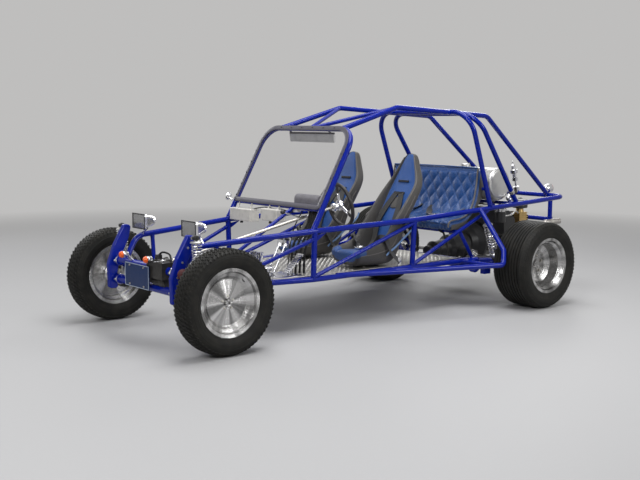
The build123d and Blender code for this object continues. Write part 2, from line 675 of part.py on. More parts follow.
# Engine: flat four with finned cylinders, gearbox ahead of it
# crankcase: half of its section across the buggy, as y and height over the crank
CASE = [(0, -118), (70, -118), (84, -96), (112, -70), (118, 62), (88, 84), (64, 132), (0, 140)]
FIN_YS = [136, 150, 164, 178, 192, 206, 220, 234]
HEAD_FIN_YS = [270, 286, 302]
BELL = [(0, 0), (0, 168), (22, 168), (30, 160), (70, 128), (118, 104), (118, 0)]
GEARBOX = [(0, 0), (0, 96), (60, 92), (90, 104), (190, 104), (220, 78), (330, 66), (350, 74), (362, 74),
           (400, 48), (430, 44), (430, 0)]

with BuildPart() as engine:
    with BuildSketch(Plane.YZ.offset(FRONT_AXLE_X - CASE_REAR_BACK)):
        with BuildLine():
            Polyline([(y, CRANK_Z + h) for y, h in CASE]
                     + [(-y, CRANK_Z + h) for y, h in reversed(CASE[1:-1])], close=True)
        make_face()
    extrude(amount=CASE_REAR_BACK - CASE_FRONT_BACK)
    turned((CASE_FRONT_BACK, 0, CRANK_Z), (CASE_FRONT_BACK - 118, 0, CRANK_Z), BELL)
    turned((CASE_FRONT_BACK - 117, 0, CRANK_Z - 18), (2428, 0, CRANK_Z - 44), GEARBOX)
    for side in (-1, 1):
        for back in (BANK_BACK - BORE_PITCH / 2, BANK_BACK + BORE_PITCH / 2):
            rod((back, side * 100, CRANK_Z), (back, side * (HEAD_Y - 40), CRANK_Z), 46)
            for dx in (-26, 26):
                rod((back + dx, side * 100, CRANK_Z - 72), (back + dx, side * HEAD_Y, CRANK_Z - 66), 11)
        for y in FIN_YS:
            with BuildSketch(Plane.XZ.offset(-side * y)):
                with Locations((FRONT_AXLE_X - BANK_BACK, CRANK_Z)):
                    RectangleRounded(BORE_PITCH * 2 - 6, 112, 34)
            extrude(amount=FIN_T / 2, both=True)
        block(BANK_BACK, side * (HEAD_Y - 6), CRANK_Z, 236, 72, 118)
        for y in HEAD_FIN_YS:
            block(BANK_BACK, side * y, CRANK_Z + 6, 248, FIN_T, 138)
        with BuildSketch(Plane.XZ.offset(-side * (HEAD_Y + 28))):
            with Locations((FRONT_AXLE_X - BANK_BACK, CRANK_Z - 22)):
                RectangleRounded(232, 92, 22)
        extrude(amount=-side * 34, taper=14)
        rod((WHEELBASE, side * 90, REAR_TYRE_R + 3), (WHEELBASE, side * 171, REAR_TYRE_R), 62)
    turned((CASE_REAR_BACK, 0, CRANK_Z), (CASE_REAR_BACK + 46, 0, CRANK_Z),
           [(0, 0), (0, 60), (14, 60), (14, 85), (20, 85), (26, 70), (34, 85), (40, 85), (40, 40),
            (46, 34), (46, 0)])
    turned((CASE_REAR_BACK - 130, 0, CRANK_Z + 120), (CASE_REAR_BACK - 130, 0, CRANK_Z + 196),
           [(0, 0), (0, 34), (30, 30), (34, 22), (76, 22), (76, 0)])
    without(rear_cage)
finish(engine, "engine")

# fan housing over the front half of the engine, with the generator on its axis
SHROUD = [(0, 96), (318, 88), (330, 112), (322, 210), (262, 268), (150, 296), (0, 300)]
GENERATOR_H = 205              # its axis over the crank

with BuildPart() as fan_shroud:
    with BuildSketch(Plane.YZ.offset(FRONT_AXLE_X - 3122)) as shroud:
        with BuildLine():
            Polyline([(y, CRANK_Z + h) for y, h in SHROUD]
                     + [(-y, CRANK_Z + h) for y, h in reversed(SHROUD[1:-1])], close=True)
        make_face()
        fillet(shroud.vertices(), 12)
    extrude(amount=140)
    turned((3121, 0, CRANK_Z + GENERATOR_H), (3330, 0, CRANK_Z + GENERATOR_H),
           [(0, 0), (0, 54), (150, 54), (160, 40), (168, 18), (176, 18), (176, 62), (182, 62),
            (187, 48), (192, 62), (198, 62), (198, 20), (209, 16), (209, 0)])
    without(engine)
finish(fan_shroud, "fan_shroud")

with BuildPart() as induction:
    for side in (-1, 1):
        y = side * CARB_Y
        bent([(BANK_BACK, side * 300, CRANK_Z + 66), (BANK_BACK, side * 296, CRANK_Z + 118),
              (CARB_BACK - 20, y, CRANK_Z + 152)], 26, 19)
        block(CARB_BACK, y, CRANK_Z + 160, 112, 92, 12)
        block(CARB_BACK, y, CRANK_Z + 206, 92, 74, 84)
        for h in (176, 192, 208, 224, 240):
            block(CARB_BACK, y, CRANK_Z + h, 108, 88, FIN_T)
        turned((CARB_BACK, y, CRANK_Z + 247), (CARB_BACK, y, CRANK_Z + 368),
               [(0, 0), (0, 34), (30, 30), (36, 30), (36, 60), (42, 64), (98, 64), (104, 60),
                (112, 28), (121, 10), (121, 0)])
    without(engine, fan_shroud)
finish(induction, "induction")

# Exhaust: four head pipes into a cross silencer with one outlet
with BuildPart() as exhaust:
    turned((3480, -300, 480), (3480, 330, 480), [(0, 0), (0, 40), (14, 58), (616, 58), (630, 40), (630, 0)])
    bent([(3480, 318, 480), (3496, 340, 552), (3650, 374, 560)], 34, 24)
    for side in (-1, 1):
        for back, dy in ((BANK_BACK - BORE_PITCH / 2, -8), (BANK_BACK + BORE_PITCH / 2, 22)):
            bent([(back, side * (HEAD_Y - 20), CRANK_Z - 55), (back, side * (HEAD_Y - 20), 285),
                  (back + 90, side * (230 + dy), 285), (3478, side * (200 + 2 * dy), 446)], 42, 19)
    without(engine, rear_cage)
finish(exhaust, "exhaust")

# Rear suspension: spring plate, diagonal arm and bearing housing on each side
HUB_Y = 598
with BuildPart() as rear_arms:
    for side in (-1, 1):
        turned((TORSION_BACK, side * 556, TORSION_Z), (TORSION_BACK, side * 598, TORSION_Z),
               [(0, 0), (0, 40), (6, 58), (32, 58), (42, 46), (42, 0)])
        with Locations(along((TORSION_BACK, side * 586, TORSION_Z), (2690, side * 590, REAR_TYRE_R))):
            Box(72, 8, 345, align=(Align.CENTER, Align.CENTER, Align.MIN))
        block(2462, side * 590, 268, 66, 44, 44)
        rod((2490, side * 321, TORSION_Z), (2490, side * 356, TORSION_Z), 17)
        rod((2490, side * 340, TORSION_Z), (2694, side * (HUB_Y - 14), REAR_TYRE_R), 20)
        rod((WHEELBASE, side * 572, REAR_TYRE_R), (WHEELBASE, side * 628, REAR_TYRE_R), 70)
        with Locations(Plane(origin=at(WHEELBASE, side * HUB_Y, REAR_TYRE_R), z_dir=(0, 1, 0))):
            Cylinder(56, 90, mode=Mode.SUBTRACT)
    without(floor_frame, coilovers)
finish(rear_arms, "rear_arms")

# Cockpit fittings
FLOOR_TOP_Z = FLOOR_RAIL_Z + 18
with BuildPart() as pedals:
    block(660, SEAT_Y, FLOOR_TOP_Z + 6, 300, 190, 12)
    for y in (SEAT_Y - 62, SEAT_Y + 4):
        rod((640, y, FLOOR_TOP_Z + 20), (744, y, 575), 7)
        with Locations(Location(at(754, y, 584), (0, -22, 0))):
            Box(10, 50, 64)
        turned((640, y, 424), (478, y, 424),
               [(0, 0), (0, 8), (22, 8), (22, 20), (60, 20), (66, 25), (150, 25), (162, 20), (162, 0)])
        turned((530, y, 440), (530, y, 536),
               [(0, 0), (0, 14), (22, 14), (28, 22), (78, 22), (80, 26), (96, 26), (96, 0)])
        rod((560, y, 424), (560, y, FLOOR_TOP_Z + 8), 12)
        rod((640, y - 16, FLOOR_TOP_Z + 22), (640, y + 16, FLOOR_TOP_Z + 22), 12)
    with Locations(Location(at(756, SEAT_Y + 72, 452), (0, -48, 0))):
        Box(6, 54, 170)
        for dz in range(-72, 73, 18):
            with Locations((0, 0, dz)):
                Box(18, 54, 6)
    rod((730, SEAT_Y + 72, FLOOR_TOP_Z + 8), (748, SEAT_Y + 72, 450), 7)
finish(pedals, "pedals")

COWL_BACK = hoop_back(COWL_Z)
# switch boxes under the cross tube: middle y, middle z, width, height
COWL_BOXES = [(-354, 716, 256, 88), (-5, 738, 187, 84)]

# gauge pod behind the cross tube and the looms that leave it for the floor
POD_Y = 303
LOOM_ENDS = [(300, 828), (320, 848), (340, 868), (360, 888)]      # y at the pod, back at the floor

with BuildPart() as dash:
    for y, z, width, height in COWL_BOXES:
        block(885, y, z, 84, width, height)
    fillet(dash.edges(), 6)
    for y, z, width, height in COWL_BOXES:
        for dy in (-width * 0.3, width * 0.3):
            rod((885, y + dy, z + height / 2 - 2), (COWL_BACK - 8, y + dy, COWL_Z), 6)
    with BuildSketch(Plane.XZ.offset(-POD_Y)):
        with Locations((FRONT_AXLE_X - 972, 843)):
            RectangleRounded(82, 104, 34)
    extrude(amount=125, both=True)
    block(930, POD_Y, 800, 40, 60, 24)
    rod((938, 200, 770), (938, 200, 800), 26)
    without(windshield_hoop)
finish(dash, "dash")

with BuildPart() as looms:
    for y, floor_back in LOOM_ENDS:
        bent([(960, y + 22, 800), (935, y + 24, 690), (floor_back - 12, y, 560),
              (floor_back, y - 20, FLOOR_TOP_Z + 3)], 45, 9)
    without(dash)
finish(looms, "looms")
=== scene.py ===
"""Dresses the dune buggy: a finish for every solid, and the tyres, springs, seats, hoses and fasteners."""
import logging
import math
from dataclasses import dataclass, field
from enum import Enum
from typing import Callable, Sequence, Union

import bmesh
import bpy
import numpy as np
from mathutils import Matrix, Vector


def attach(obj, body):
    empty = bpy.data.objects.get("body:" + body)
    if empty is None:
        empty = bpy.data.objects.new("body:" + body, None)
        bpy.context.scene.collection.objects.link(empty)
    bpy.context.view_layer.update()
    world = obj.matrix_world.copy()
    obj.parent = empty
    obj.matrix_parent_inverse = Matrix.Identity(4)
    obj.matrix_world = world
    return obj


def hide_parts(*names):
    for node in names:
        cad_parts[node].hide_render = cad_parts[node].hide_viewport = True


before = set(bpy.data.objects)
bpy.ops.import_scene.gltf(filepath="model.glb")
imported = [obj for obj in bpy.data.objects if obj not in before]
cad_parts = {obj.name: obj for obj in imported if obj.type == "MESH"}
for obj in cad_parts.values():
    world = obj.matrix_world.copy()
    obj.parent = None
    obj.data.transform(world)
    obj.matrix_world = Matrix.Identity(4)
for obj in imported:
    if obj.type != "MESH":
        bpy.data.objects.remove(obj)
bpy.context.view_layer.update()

LOG = logging.getLogger("buggy")
# Sizes and places in millimetres that pieces share: behind the front axle, to the left, over the ground
FRONT_AXLE_X = 1671.0
WHEELBASE = 2738.0
FRONT_WHEEL_Y = 703.5
REAR_WHEEL_Y = 835.0
FRONT_TYRE_R = 322.0
REAR_TYRE_R = 325.0
SEAT_Y = 322.0
BEAM_BACK = -130.0
BEAM_ZS = (465, 340)
FLOOR_TOP = 363
HEADLAMP_Y = 312
HEADLAMP_Z = 722
PLATE_BACK = -198
PLATE_Z = 410
SCREEN_BACK = 1063.7
SCREEN_Z = 1075
TORSION_BACK = 2350.0
TORSION_Z = 322.0
TANK_BACK = 2866
TANK_Z = 900
SILENCER = (3480, 480)
POD_Z = 843
SIDES = ((1, "left"), (-1, "right"))
Point = Sequence[float]
Rows = Sequence[tuple[float, float]]
Colour = tuple[float, float, float]


def at(back: float, y: float, z: float) -> Vector:
    """Turn a place in millimetres behind the front axle into metres in the part's frame.

    Args:
        back: distance behind the front axle.
        y: distance to the buggy's left.
        z: height over the ground.

    Returns:
        The point in metres.
    """
    return Vector(((FRONT_AXLE_X - back) / 1000, y / 1000, z / 1000))


def mirrored(points: Sequence[Point], side: int, middle: float = 0.0) -> list[Point]:
    """Return places given by their distance from a middle plane, on one side of it."""
    return [(back, middle + side * y, z) for back, y, z in points]


def round_axle(middle: Point, radius: float, degrees: float) -> Point:
    """Return a place round an axle that runs across the buggy.

    Args:
        middle: the middle of the ring.
        radius: distance from the axle.
        degrees: angle from the front, over the top.

    Returns:
        The place in millimetres.
    """
    a = math.radians(degrees)
    return middle[0] - radius * math.cos(a), middle[1], middle[2] + radius * math.sin(a)


# Shader maths
def operator(operation: str, swapped: bool = False) -> Callable[["Value", "Number"], "Value"]:
    """Make the method that stands for one Python operator.

    Args:
        operation: the Math node's operation.
        swapped: whether the value comes second, as in 1 - value.

    Returns:
        The method, which adds a Math node for its two operands.
    """
    def method(self: "Value", other: "Number") -> "Value":
        """Add the node and return its result."""
        first, second = (other, self) if swapped else (self, other)
        return self.sheet.node("ShaderNodeMath", {"operation": operation}, {0: first, 1: second})
    return method


class Value:
    """A shader socket that Python expressions can be written with."""

    def __init__(self, sheet: "Nodes", socket: bpy.types.NodeSocket) -> None:
        """Wrap one output socket of a sheet."""
        self.sheet, self.socket = sheet, socket

    __add__ = __radd__ = operator("ADD")
    __sub__ = operator("SUBTRACT")
    __rsub__ = operator("SUBTRACT", swapped=True)
    __mul__ = __rmul__ = operator("MULTIPLY")
    __truediv__ = operator("DIVIDE")
    __pow__ = operator("POWER")
    __gt__ = operator("GREATER_THAN")

    def function(self, operation: str) -> "Value":
        """Return a Math function of this value, such as SINE or ABSOLUTE."""
        return self.sheet.node("ShaderNodeMath", {"operation": operation}, {0: self})

    def clamped(self) -> "Value":
        """Return this value limited to between 0 and 1."""
        return self.sheet.node("ShaderNodeMath", {"operation": "ADD", "use_clamp": True}, {0: self, 1: 0.0})


Number = Union[Value, float]


class Nodes:
    """A node tree that is written with a single method for every kind of node."""

    def __init__(self, tree: bpy.types.NodeTree) -> None:
        """Take the tree that the nodes go into."""
        self.tree = tree

    def node(self, kind: str, settings: dict | None = None, sockets: dict | None = None,
             out: int | str = 0) -> Value:
        """Add one node: its settings first, then its sockets' values or links.

        Args:
            kind: the node's type name.
            settings: properties; "stops" sets a ramp's positions and colours.
            sockets: input name or number to a constant or another value.
            out: which output to return.

        Returns:
            The chosen output.
        """
        node = self.tree.nodes.new(kind)
        for key, value in (settings or {}).items():
            if key == "stops":
                ramp = node.color_ramp.elements
                while len(ramp) < len(value):
                    ramp.new(0.5)
                for stop, (position, shade) in zip(ramp, value):
                    stop.position, stop.color = position, (*shade, 1.0)
            else:
                setattr(node, key, value)
        for key, value in (sockets or {}).items():
            self.join(node.inputs[key], value)
        return Value(self, node.outputs[out])

    def join(self, socket: bpy.types.NodeSocket, value: object) -> None:
        """Link a value to a socket, or set the socket's own constant.

        Args:
            socket: the input.
            value: another socket's value, or a constant.
        """
        if isinstance(value, Value):
            self.tree.links.new(value.socket, socket)
        else:
            socket.default_value = value

    def blend(self, factor: Number, first: object, second: object) -> Value:
        """Mix two colours."""
        first, second = ((*c, 1.0) if isinstance(c, tuple) else c for c in (first, second))
        return self.node("ShaderNodeMix", {"data_type": "RGBA"}, {0: factor, 6: first, 7: second}, out=2)

    def open_rays(self) -> Value:
        """Tell the rays that show a surface from those that only light others.

        Returns:
            One for rays from the camera, off a gloss or through a clear sheet, else zero.
        """
        camera, gloss, through = (self.node("ShaderNodeLightPath", out=kind + " Ray")
                                  for kind in ("Is Camera", "Is Glossy", "Is Transmission"))
        return (camera + gloss + through).clamped()


class Sheet(Nodes):
    """The node sheet of one material."""

    def __init__(self, name: str) -> None:
        """Start a material with only its shader and output.

        Args:
            name: the material's name.
        """
        self.material = bpy.data.materials.new(name)
        self.material.use_nodes = True
        super().__init__(self.material.node_tree)
        self.shader = self.tree.nodes["Principled BSDF"]
        self.place = self.node("ShaderNodeTexCoord", out="Object")

    def set(self, **sockets: object) -> None:
        """Set the shader's sockets; underscores stand for spaces."""
        for name, value in sockets.items():
            if name == "Base_Color" and isinstance(value, tuple):
                value = (*value, 1.0)
            self.join(self.shader.inputs[name.replace("_", " ")], value)

    def scaled(self, x: float, y: float, z: float) -> Value:
        """Return the object coordinates, scaled on each axis."""
        return self.node("ShaderNodeMapping", {}, {"Vector": self.place, "Scale": (x, y, z)})

    def noise(self, scale: float, detail: float, where: Value | None = None) -> Value:
        """Return fractal noise between 0 and 1."""
        sockets = {"Vector": where or self.place, "Scale": scale, "Detail": detail}
        return self.node("ShaderNodeTexNoise", {}, sockets)

    def cells(self, scale: float, feature: str = "F1") -> Value:
        """Return distance in a cell pattern."""
        return self.node("ShaderNodeTexVoronoi", {"feature": feature},
                         {"Vector": self.place, "Scale": scale}, out="Distance")

    def axes(self) -> tuple[Value, Value, Value]:
        """Split the object coordinates into x, y and z.

        Returns:
            The three values, in metres.
        """
        x = self.node("ShaderNodeSeparateXYZ", {}, {0: self.place})
        outputs = x.socket.node.outputs
        return x, Value(self, outputs[1]), Value(self, outputs[2])

    def ramp(self, value: Value, stops: Sequence[tuple[float, Colour]]) -> Value:
        """Return a colour that follows a value through the given stops."""
        return self.node("ShaderNodeValToRGB", {"stops": stops}, {0: value})

    def bump(self, height: Value, depth: float, strength: float, under: Value | None = None) -> Value:
        """Bend the normal by a height.

        Args:
            height: the height, which counts from 0 to 1.
            depth: what a height of 1 stands for, in metres.
            strength: share of the bend that is used.
            under: a normal that was bent before.

        Returns:
            The bent normal.
        """
        sockets = {"Height": height, "Distance": depth, "Strength": strength}
        if under:
            sockets["Normal"] = under
        return self.node("ShaderNodeBump", {}, sockets)


# Finishes
def shaded(colour: Colour, share: float, lift: float = 0.0) -> Colour:
    """Return a darker or paler colour: each part times the share plus the lift, up to 1."""
    return tuple(min(1.0, c * share + lift) for c in colour)


class Brush(Enum):
    """How a bare metal surface was worked."""

    CAST = "cast"
    POLISHED = "polished"
    TURNED = "turned"
    DRAWN = "drawn"


@dataclass(frozen=True)
class Finish:
    """Base of all finishes; each one makes its material once."""

    name: str
    colour: Colour = (0.5, 0.5, 0.5)

    def material(self) -> bpy.types.Material:
        """Find or make the finish's material.

        Returns:
            The material, made on first use.
        """
        found = bpy.data.materials.get("finish_" + self.name)
        if found is None:
            sheet = Sheet("finish_" + self.name)
            self.paint(sheet)
            found = sheet.material
        return found

    def paint(self, sheet: Sheet) -> None:
        """Fill in the node sheet.

        Args:
            sheet: the material's node sheet.
        """
        raise NotImplementedError


@dataclass(frozen=True)
class Paint(Finish):
    """Sprayed paint with orange peel, a clear coat and thin dust that is thickest near the floor."""

    rough: float = 0.3
    coat: float = 0.6
    peel: float = 0.00012
    dust: float = 0.12

    def paint(self, sheet: Sheet) -> None:
        """Fill in the node sheet.

        Args:
            sheet: the material's node sheet.
        """
        cloud = sheet.noise(9.0, 4.0)
        fine = sheet.noise(420.0, 2.0)
        low = (1.0 - sheet.axes()[2] * 1.6).clamped()
        film = (sheet.noise(34.0, 5.0) * low * self.dust * 2.0).clamped()
        deep = shaded(self.colour, 0.82)
        sheet.set(Base_Color=sheet.blend(film, sheet.blend(cloud, deep, self.colour), PALE_DUST),
                  Roughness=(self.rough + film * 0.5 + fine * 0.05).clamped(),
                  Coat_Weight=(self.coat - film).clamped(), Coat_Roughness=0.05, Specular_IOR_Level=0.1,
                  Normal=sheet.bump(sheet.noise(260.0, 1.0) + fine * 0.3, self.peel, 0.5))


@dataclass(frozen=True)
class Metal(Finish):
    """Bare metal, worked in one of four ways, with handling marks; a turned surface also gets painted
    reflections, dark and pale radial streaks in its colour.
    """

    rough: float = 0.25
    brush: Brush = Brush.POLISHED
    grime: float = 0.1
    centre: tuple[float, float] = (0.0, 0.0)

    def paint(self, sheet: Sheet) -> None:
        """Fill in the node sheet.

        Args:
            sheet: the material's node sheet.
        """
        x, y, z = sheet.axes()
        smear = sheet.noise(14.0, 5.0)
        fine = sheet.noise(300.0, 3.0)
        shade: object = self.colour
        if self.brush is Brush.TURNED:
            over, above = x - self.centre[0], z - self.centre[1]
            radius = (over ** 2.0 + above ** 2.0) ** 0.5 + 0.001
            fan = sheet.node("ShaderNodeCombineXYZ", {}, {0: over / radius, 1: y, 2: above / radius})
            # Painted reflection: dark and pale streaks that fan out from the centre go into the colour and
            # stand in for a turned surface's glints.
            painted_reflection_streaks = ((sheet.noise(2.4, 6.0, fan) - 0.40) * 4.2).clamped()
            shade = sheet.blend(painted_reflection_streaks, shaded(self.colour, 0.30), self.colour)
            ring = sheet.node("ShaderNodeTexNoise", {"noise_dimensions": "1D"},
                              {"W": radius * 900.0, "Scale": 1.0, "Detail": 3.0})
            height, depth = ring + smear * 0.05, 0.0022
        elif self.brush is Brush.DRAWN:
            height, depth = sheet.noise(1.0, 4.0, sheet.scaled(900.0, 30.0, 900.0)), 0.00012
        elif self.brush is Brush.CAST:
            height, depth = sheet.cells(420.0) + sheet.noise(160.0, 4.0), 0.0006
        else:
            height, depth = sheet.noise(60.0, 2.0), 0.0002
        stain = ((sheet.noise(26.0, 6.0) - 0.5) * 2.4).clamped() * self.grime
        sheet.set(Base_Color=sheet.blend(stain, shade, shaded(self.colour, 0.35)), Metallic=1.0 - stain * 0.4,
                  Roughness=(self.rough + (smear - 0.5) * 0.12 + fine * 0.04 + stain * 0.4).clamped(),
                  Normal=sheet.bump(height, depth, 0.35))


@dataclass(frozen=True)
class Vinyl(Finish):
    """Upholstery vinyl: leather grain, soft sheen, and painted shade and highlight on the folds, darker where
    they sink and paler where they rise.
    """

    rough: float = 0.42
    grain: float = 620.0
    # How much of the painted fold shade and highlight goes into the colour
    wear: float = 0.3

    def paint(self, sheet: Sheet) -> None:
        """Fill in the node sheet.

        Args:
            sheet: the material's node sheet.
        """
        grain = sheet.cells(self.grain, "DISTANCE_TO_EDGE")
        folds = sheet.noise(24.0, 5.0)
        # Painted shade and highlight: the colour follows the fold noise of the crease bump, darker in the
        # hollows and paler on the crowns.
        painted_fold_shading = sheet.ramp(folds, [(0.3, shaded(self.colour, 0.62)), (0.52, self.colour),
                                  (0.8, shaded(self.colour, 1.35, 0.01))])
        crease = sheet.bump(folds, 0.0016, 0.35)
        sheet.set(Base_Color=sheet.blend(self.wear * 0.4, self.colour, painted_fold_shading), Sheen_Weight=0.12,
                  Roughness=(self.rough + (sheet.noise(80.0, 3.0) - 0.5) * 0.2).clamped(),
                  Specular_IOR_Level=0.45, Normal=sheet.bump((grain * 14.0).clamped(), 0.00035, 0.6, crease))


@dataclass(frozen=True)
class Rubber(Finish):
    """Dull rubber with clouds of brown dust."""

    rough: float = 0.62
    dust: float = 0.35

    def paint(self, sheet: Sheet) -> None:
        """Fill in the node sheet.

        Args:
            sheet: the material's node sheet.
        """
        cloud = sheet.noise(18.0, 6.0)
        speck = sheet.noise(240.0, 4.0)
        film = ((cloud - 0.42) * 2.2).clamped() * self.dust
        sheet.set(Base_Color=sheet.blend(film, self.colour, BROWN_DUST), Specular_IOR_Level=0.2,
                  Roughness=(self.rough + film * 0.3 + (speck - 0.5) * 0.18).clamped(),
                  Normal=sheet.bump(speck + sheet.noise(700.0, 2.0) * 0.5, 0.0003, 0.4))


@dataclass(frozen=True)
class Clear(Finish):
    """Clear or tinted sheet and lenses, with fine dust and moulded ribs where asked."""

    alpha: float = 0.15
    ribs: float = 0.0
    shine: float = 0.5

    def paint(self, sheet: Sheet) -> None:
        """Fill in the node sheet.

        Args:
            sheet: the material's node sheet.
        """
        dust = ((sheet.noise(40.0, 6.0) - 0.5) * 1.8).clamped()
        height = (sheet.axes()[1] * self.ribs).function("SINE") if self.ribs else sheet.noise(6.0, 1.0)
        depth = 0.0008 if self.ribs else 0.0003
        sheet.set(Base_Color=sheet.blend(dust * 0.2, self.colour, (0.6, 0.6, 0.6)),
                  Alpha=(self.alpha + dust * 0.02).clamped(), Roughness=(0.04 + dust * 0.10).clamped(),
                  Specular_IOR_Level=self.shine, Normal=sheet.bump(height, depth, 0.5))


@dataclass(frozen=True)
class Plastic(Finish):
    """Moulded plastic with a fine texture and small scuffs."""

    rough: float = 0.38
    texture: float = 0.0002

    def paint(self, sheet: Sheet) -> None:
        """Fill in the node sheet.

        Args:
            sheet: the material's node sheet.
        """
        scuff = ((sheet.noise(55.0, 7.0) - 0.56) * 4.0).clamped()
        sheet.set(Base_Color=sheet.blend(scuff * 0.35, self.colour, shaded(self.colour, 1.2, 0.03)),
                  Roughness=(self.rough + scuff * 0.25).clamped(),
                  Normal=sheet.bump(sheet.noise(900.0, 2.0), self.texture, 0.5))


@dataclass(frozen=True)
class Woven(Finish):
    """Flat woven webbing with a herringbone of fine threads."""

    pitch: float = 1400.0

    def paint(self, sheet: Sheet) -> None:
        """Fill in the node sheet.

        Args:
            sheet: the material's node sheet.
        """
        x, y, z = sheet.axes()
        warp = ((x + z) * self.pitch).function("SINE")
        weft = ((y + z * 0.5) * self.pitch).function("SINE")
        weave = warp * weft * 0.5 + 0.5
        sheet.set(Base_Color=sheet.blend(weave, shaded(self.colour, 0.55), self.colour),
                  Roughness=0.7 + weave * 0.15, Sheen_Weight=0.3, Normal=sheet.bump(weave, 0.0005, 0.7))


@dataclass(frozen=True)
class Zone:
    """A block of space in which an assembly shows another surface; corners in metres."""

    low: tuple[float, float, float]
    high: tuple[float, float, float]
    colour: Colour
    metallic: float = 0.0
    rough: float = 0.5


@dataclass(frozen=True)
class Zoned(Finish):
    """A cast surface whose parts were painted, plated or polished block by block."""

    metallic: float = 1.0
    rough: float = 0.45
    grain: float = 0.0004
    zones: tuple[Zone, ...] = ()

    def paint(self, sheet: Sheet) -> None:
        """Fill in the node sheet.

        Args:
            sheet: the material's node sheet.
        """
        axes = sheet.axes()
        shade: object = self.colour
        metal: Number = self.metallic
        rough: Number = self.rough
        for zone in self.zones:
            inside: Number = 1.0
            for axis, low, high in zip(axes, zone.low, zone.high):
                inside = (axis > low) * (1.0 - (axis > high)) * inside
            shade = sheet.blend(inside, shade, zone.colour)
            metal = inside * (zone.metallic - metal) + metal
            rough = inside * (zone.rough - rough) + rough
        soot = ((sheet.noise(22.0, 6.0) - 0.45) * 2.0).clamped()
        speck = sheet.noise(180.0, 4.0)
        sheet.set(Base_Color=sheet.blend(soot * 0.35, shade, SOOT), Metallic=metal,
                  Roughness=(rough + soot * 0.2 + (speck - 0.5) * 0.12).clamped(),
                  Normal=sheet.bump(speck, self.grain, 0.5))


PALE_DUST = (0.30, 0.28, 0.25)
BROWN_DUST = (0.085, 0.078, 0.060)
SOOT = (0.02, 0.018, 0.016)
BRIGHT = (0.72, 0.72, 0.74)
WHEEL_ALLOY = (0.62, 0.615, 0.61)
FRAME_BLUE = Paint("frame_blue", (0.0003, 0.012, 0.27), rough=0.15, coat=0.32, dust=0.02)
BLACK_PAINT = Paint("black_paint", (0.010, 0.010, 0.011), rough=0.32, coat=0.3, dust=0.3)
PLATE_BLUE = Paint("plate_blue", (0.006, 0.030, 0.120), rough=0.35, coat=0.2)
PLATE_RIM = Paint("plate_rim", (0.50, 0.58, 0.70), rough=0.4, coat=0.2)
CHROME = Metal("chrome", BRIGHT, rough=0.12, grime=0.25)
STEEL = Metal("zinc_steel", (0.50, 0.48, 0.44), rough=0.36, brush=Brush.DRAWN, grime=0.35)
ALLOY = Metal("polished_alloy", (0.60, 0.60, 0.59), rough=0.35, grime=0.3)
EXHAUST = Metal("exhaust_steel", (0.40, 0.38, 0.36), rough=0.36, grime=0.6)
MIRROR = Metal("mirror_glass", (0.80, 0.80, 0.80), rough=0.05, grime=0.04)
TREAD_PLATE = Metal("tread_plate", (0.44, 0.43, 0.41), rough=0.42, brush=Brush.CAST, grime=0.3)
# The wheel discs carry painted reflections: dark and pale radial streaks round each wheel's centre, in their
# colour.
FRONT_DISC, REAR_DISC = (
    Metal(name, WHEEL_ALLOY, rough=0.19, brush=Brush.TURNED, grime=0.12, centre=(x / 1000, z / 1000))
    for name, x, z in (("turned_front_wheel_painted_reflections", FRONT_AXLE_X, FRONT_TYRE_R),
                       ("turned_rear_wheel_painted_reflections", FRONT_AXLE_X - WHEELBASE, REAR_TYRE_R)))
TYRE = Rubber("tyre_rubber", (0.0085, 0.0083, 0.0075), rough=0.56, dust=0.16)
HOSE = Rubber("hose_rubber", (0.014, 0.014, 0.015), rough=0.48, dust=0.15)
BOOT = Rubber("maroon_boot", (0.075, 0.022, 0.024), rough=0.5, dust=0.2)
SEAT_BLUE = Vinyl("seat_blue", (0.009, 0.064, 0.25))
SEAT_TAUPE = Vinyl("seat_taupe", (0.050, 0.047, 0.044), rough=0.5)
PIPING = Vinyl("pale_piping", (0.11, 0.10, 0.095), rough=0.5)
BENCH_BLUE = Vinyl("bench_blue", (0.008, 0.055, 0.205), rough=0.30)
THREAD = Vinyl("pale_thread", (0.10, 0.22, 0.50), rough=0.5)
SCREEN = Clear("clear_sheet", (0.16, 0.15, 0.165), alpha=0.07, shine=0.03)
LAMP_GLASS = Clear("lamp_glass", (0.30, 0.30, 0.29), alpha=0.26, ribs=500.0)
AMBER = Clear("amber_lens", (0.90, 0.13, 0.008), alpha=0.95, ribs=1500.0)
RED = Clear("red_lens", (0.36, 0.008, 0.008), alpha=0.95, ribs=1500.0)
CREAM = Plastic("cream_plastic", (0.70, 0.68, 0.63))
BAND = Plastic("edge_band", (0.075, 0.072, 0.092), rough=0.3)
BLACK = Plastic("black_plastic", (0.012, 0.012, 0.013), rough=0.45)
WHITE_HOSE = Plastic("white_hose", (0.62, 0.61, 0.58))
WEB_BLUE = Woven("blue_webbing", (0.13, 0.24, 0.46))
WEB_BLACK = Woven("black_webbing", (0.007, 0.007, 0.0075))
# How far a zone reaches on the sides where nothing bounds it, and where the gearbox's zone ends
EVERYWHERE = 9.0
BELL_X = -1.304


def flanks(near: float, far: float, foot: float, colour: Colour, metallic: float, rough: float) -> list[Zone]:
    """Return one zone of the engine on both of its sides, in metres.

    Args:
        near: its inner distance from the middle.
        far: its outer distance.
        foot: its lower edge.
        colour: its colour.
        metallic: how much of a metal it is.
        rough: its roughness.

    Returns:
        The left and the right zone.
    """
    return [Zone((-EVERYWHERE, low, foot), (BELL_X, high, EVERYWHERE), colour, metallic, rough)
            for low, high in ((near, far), (-far, -near))]


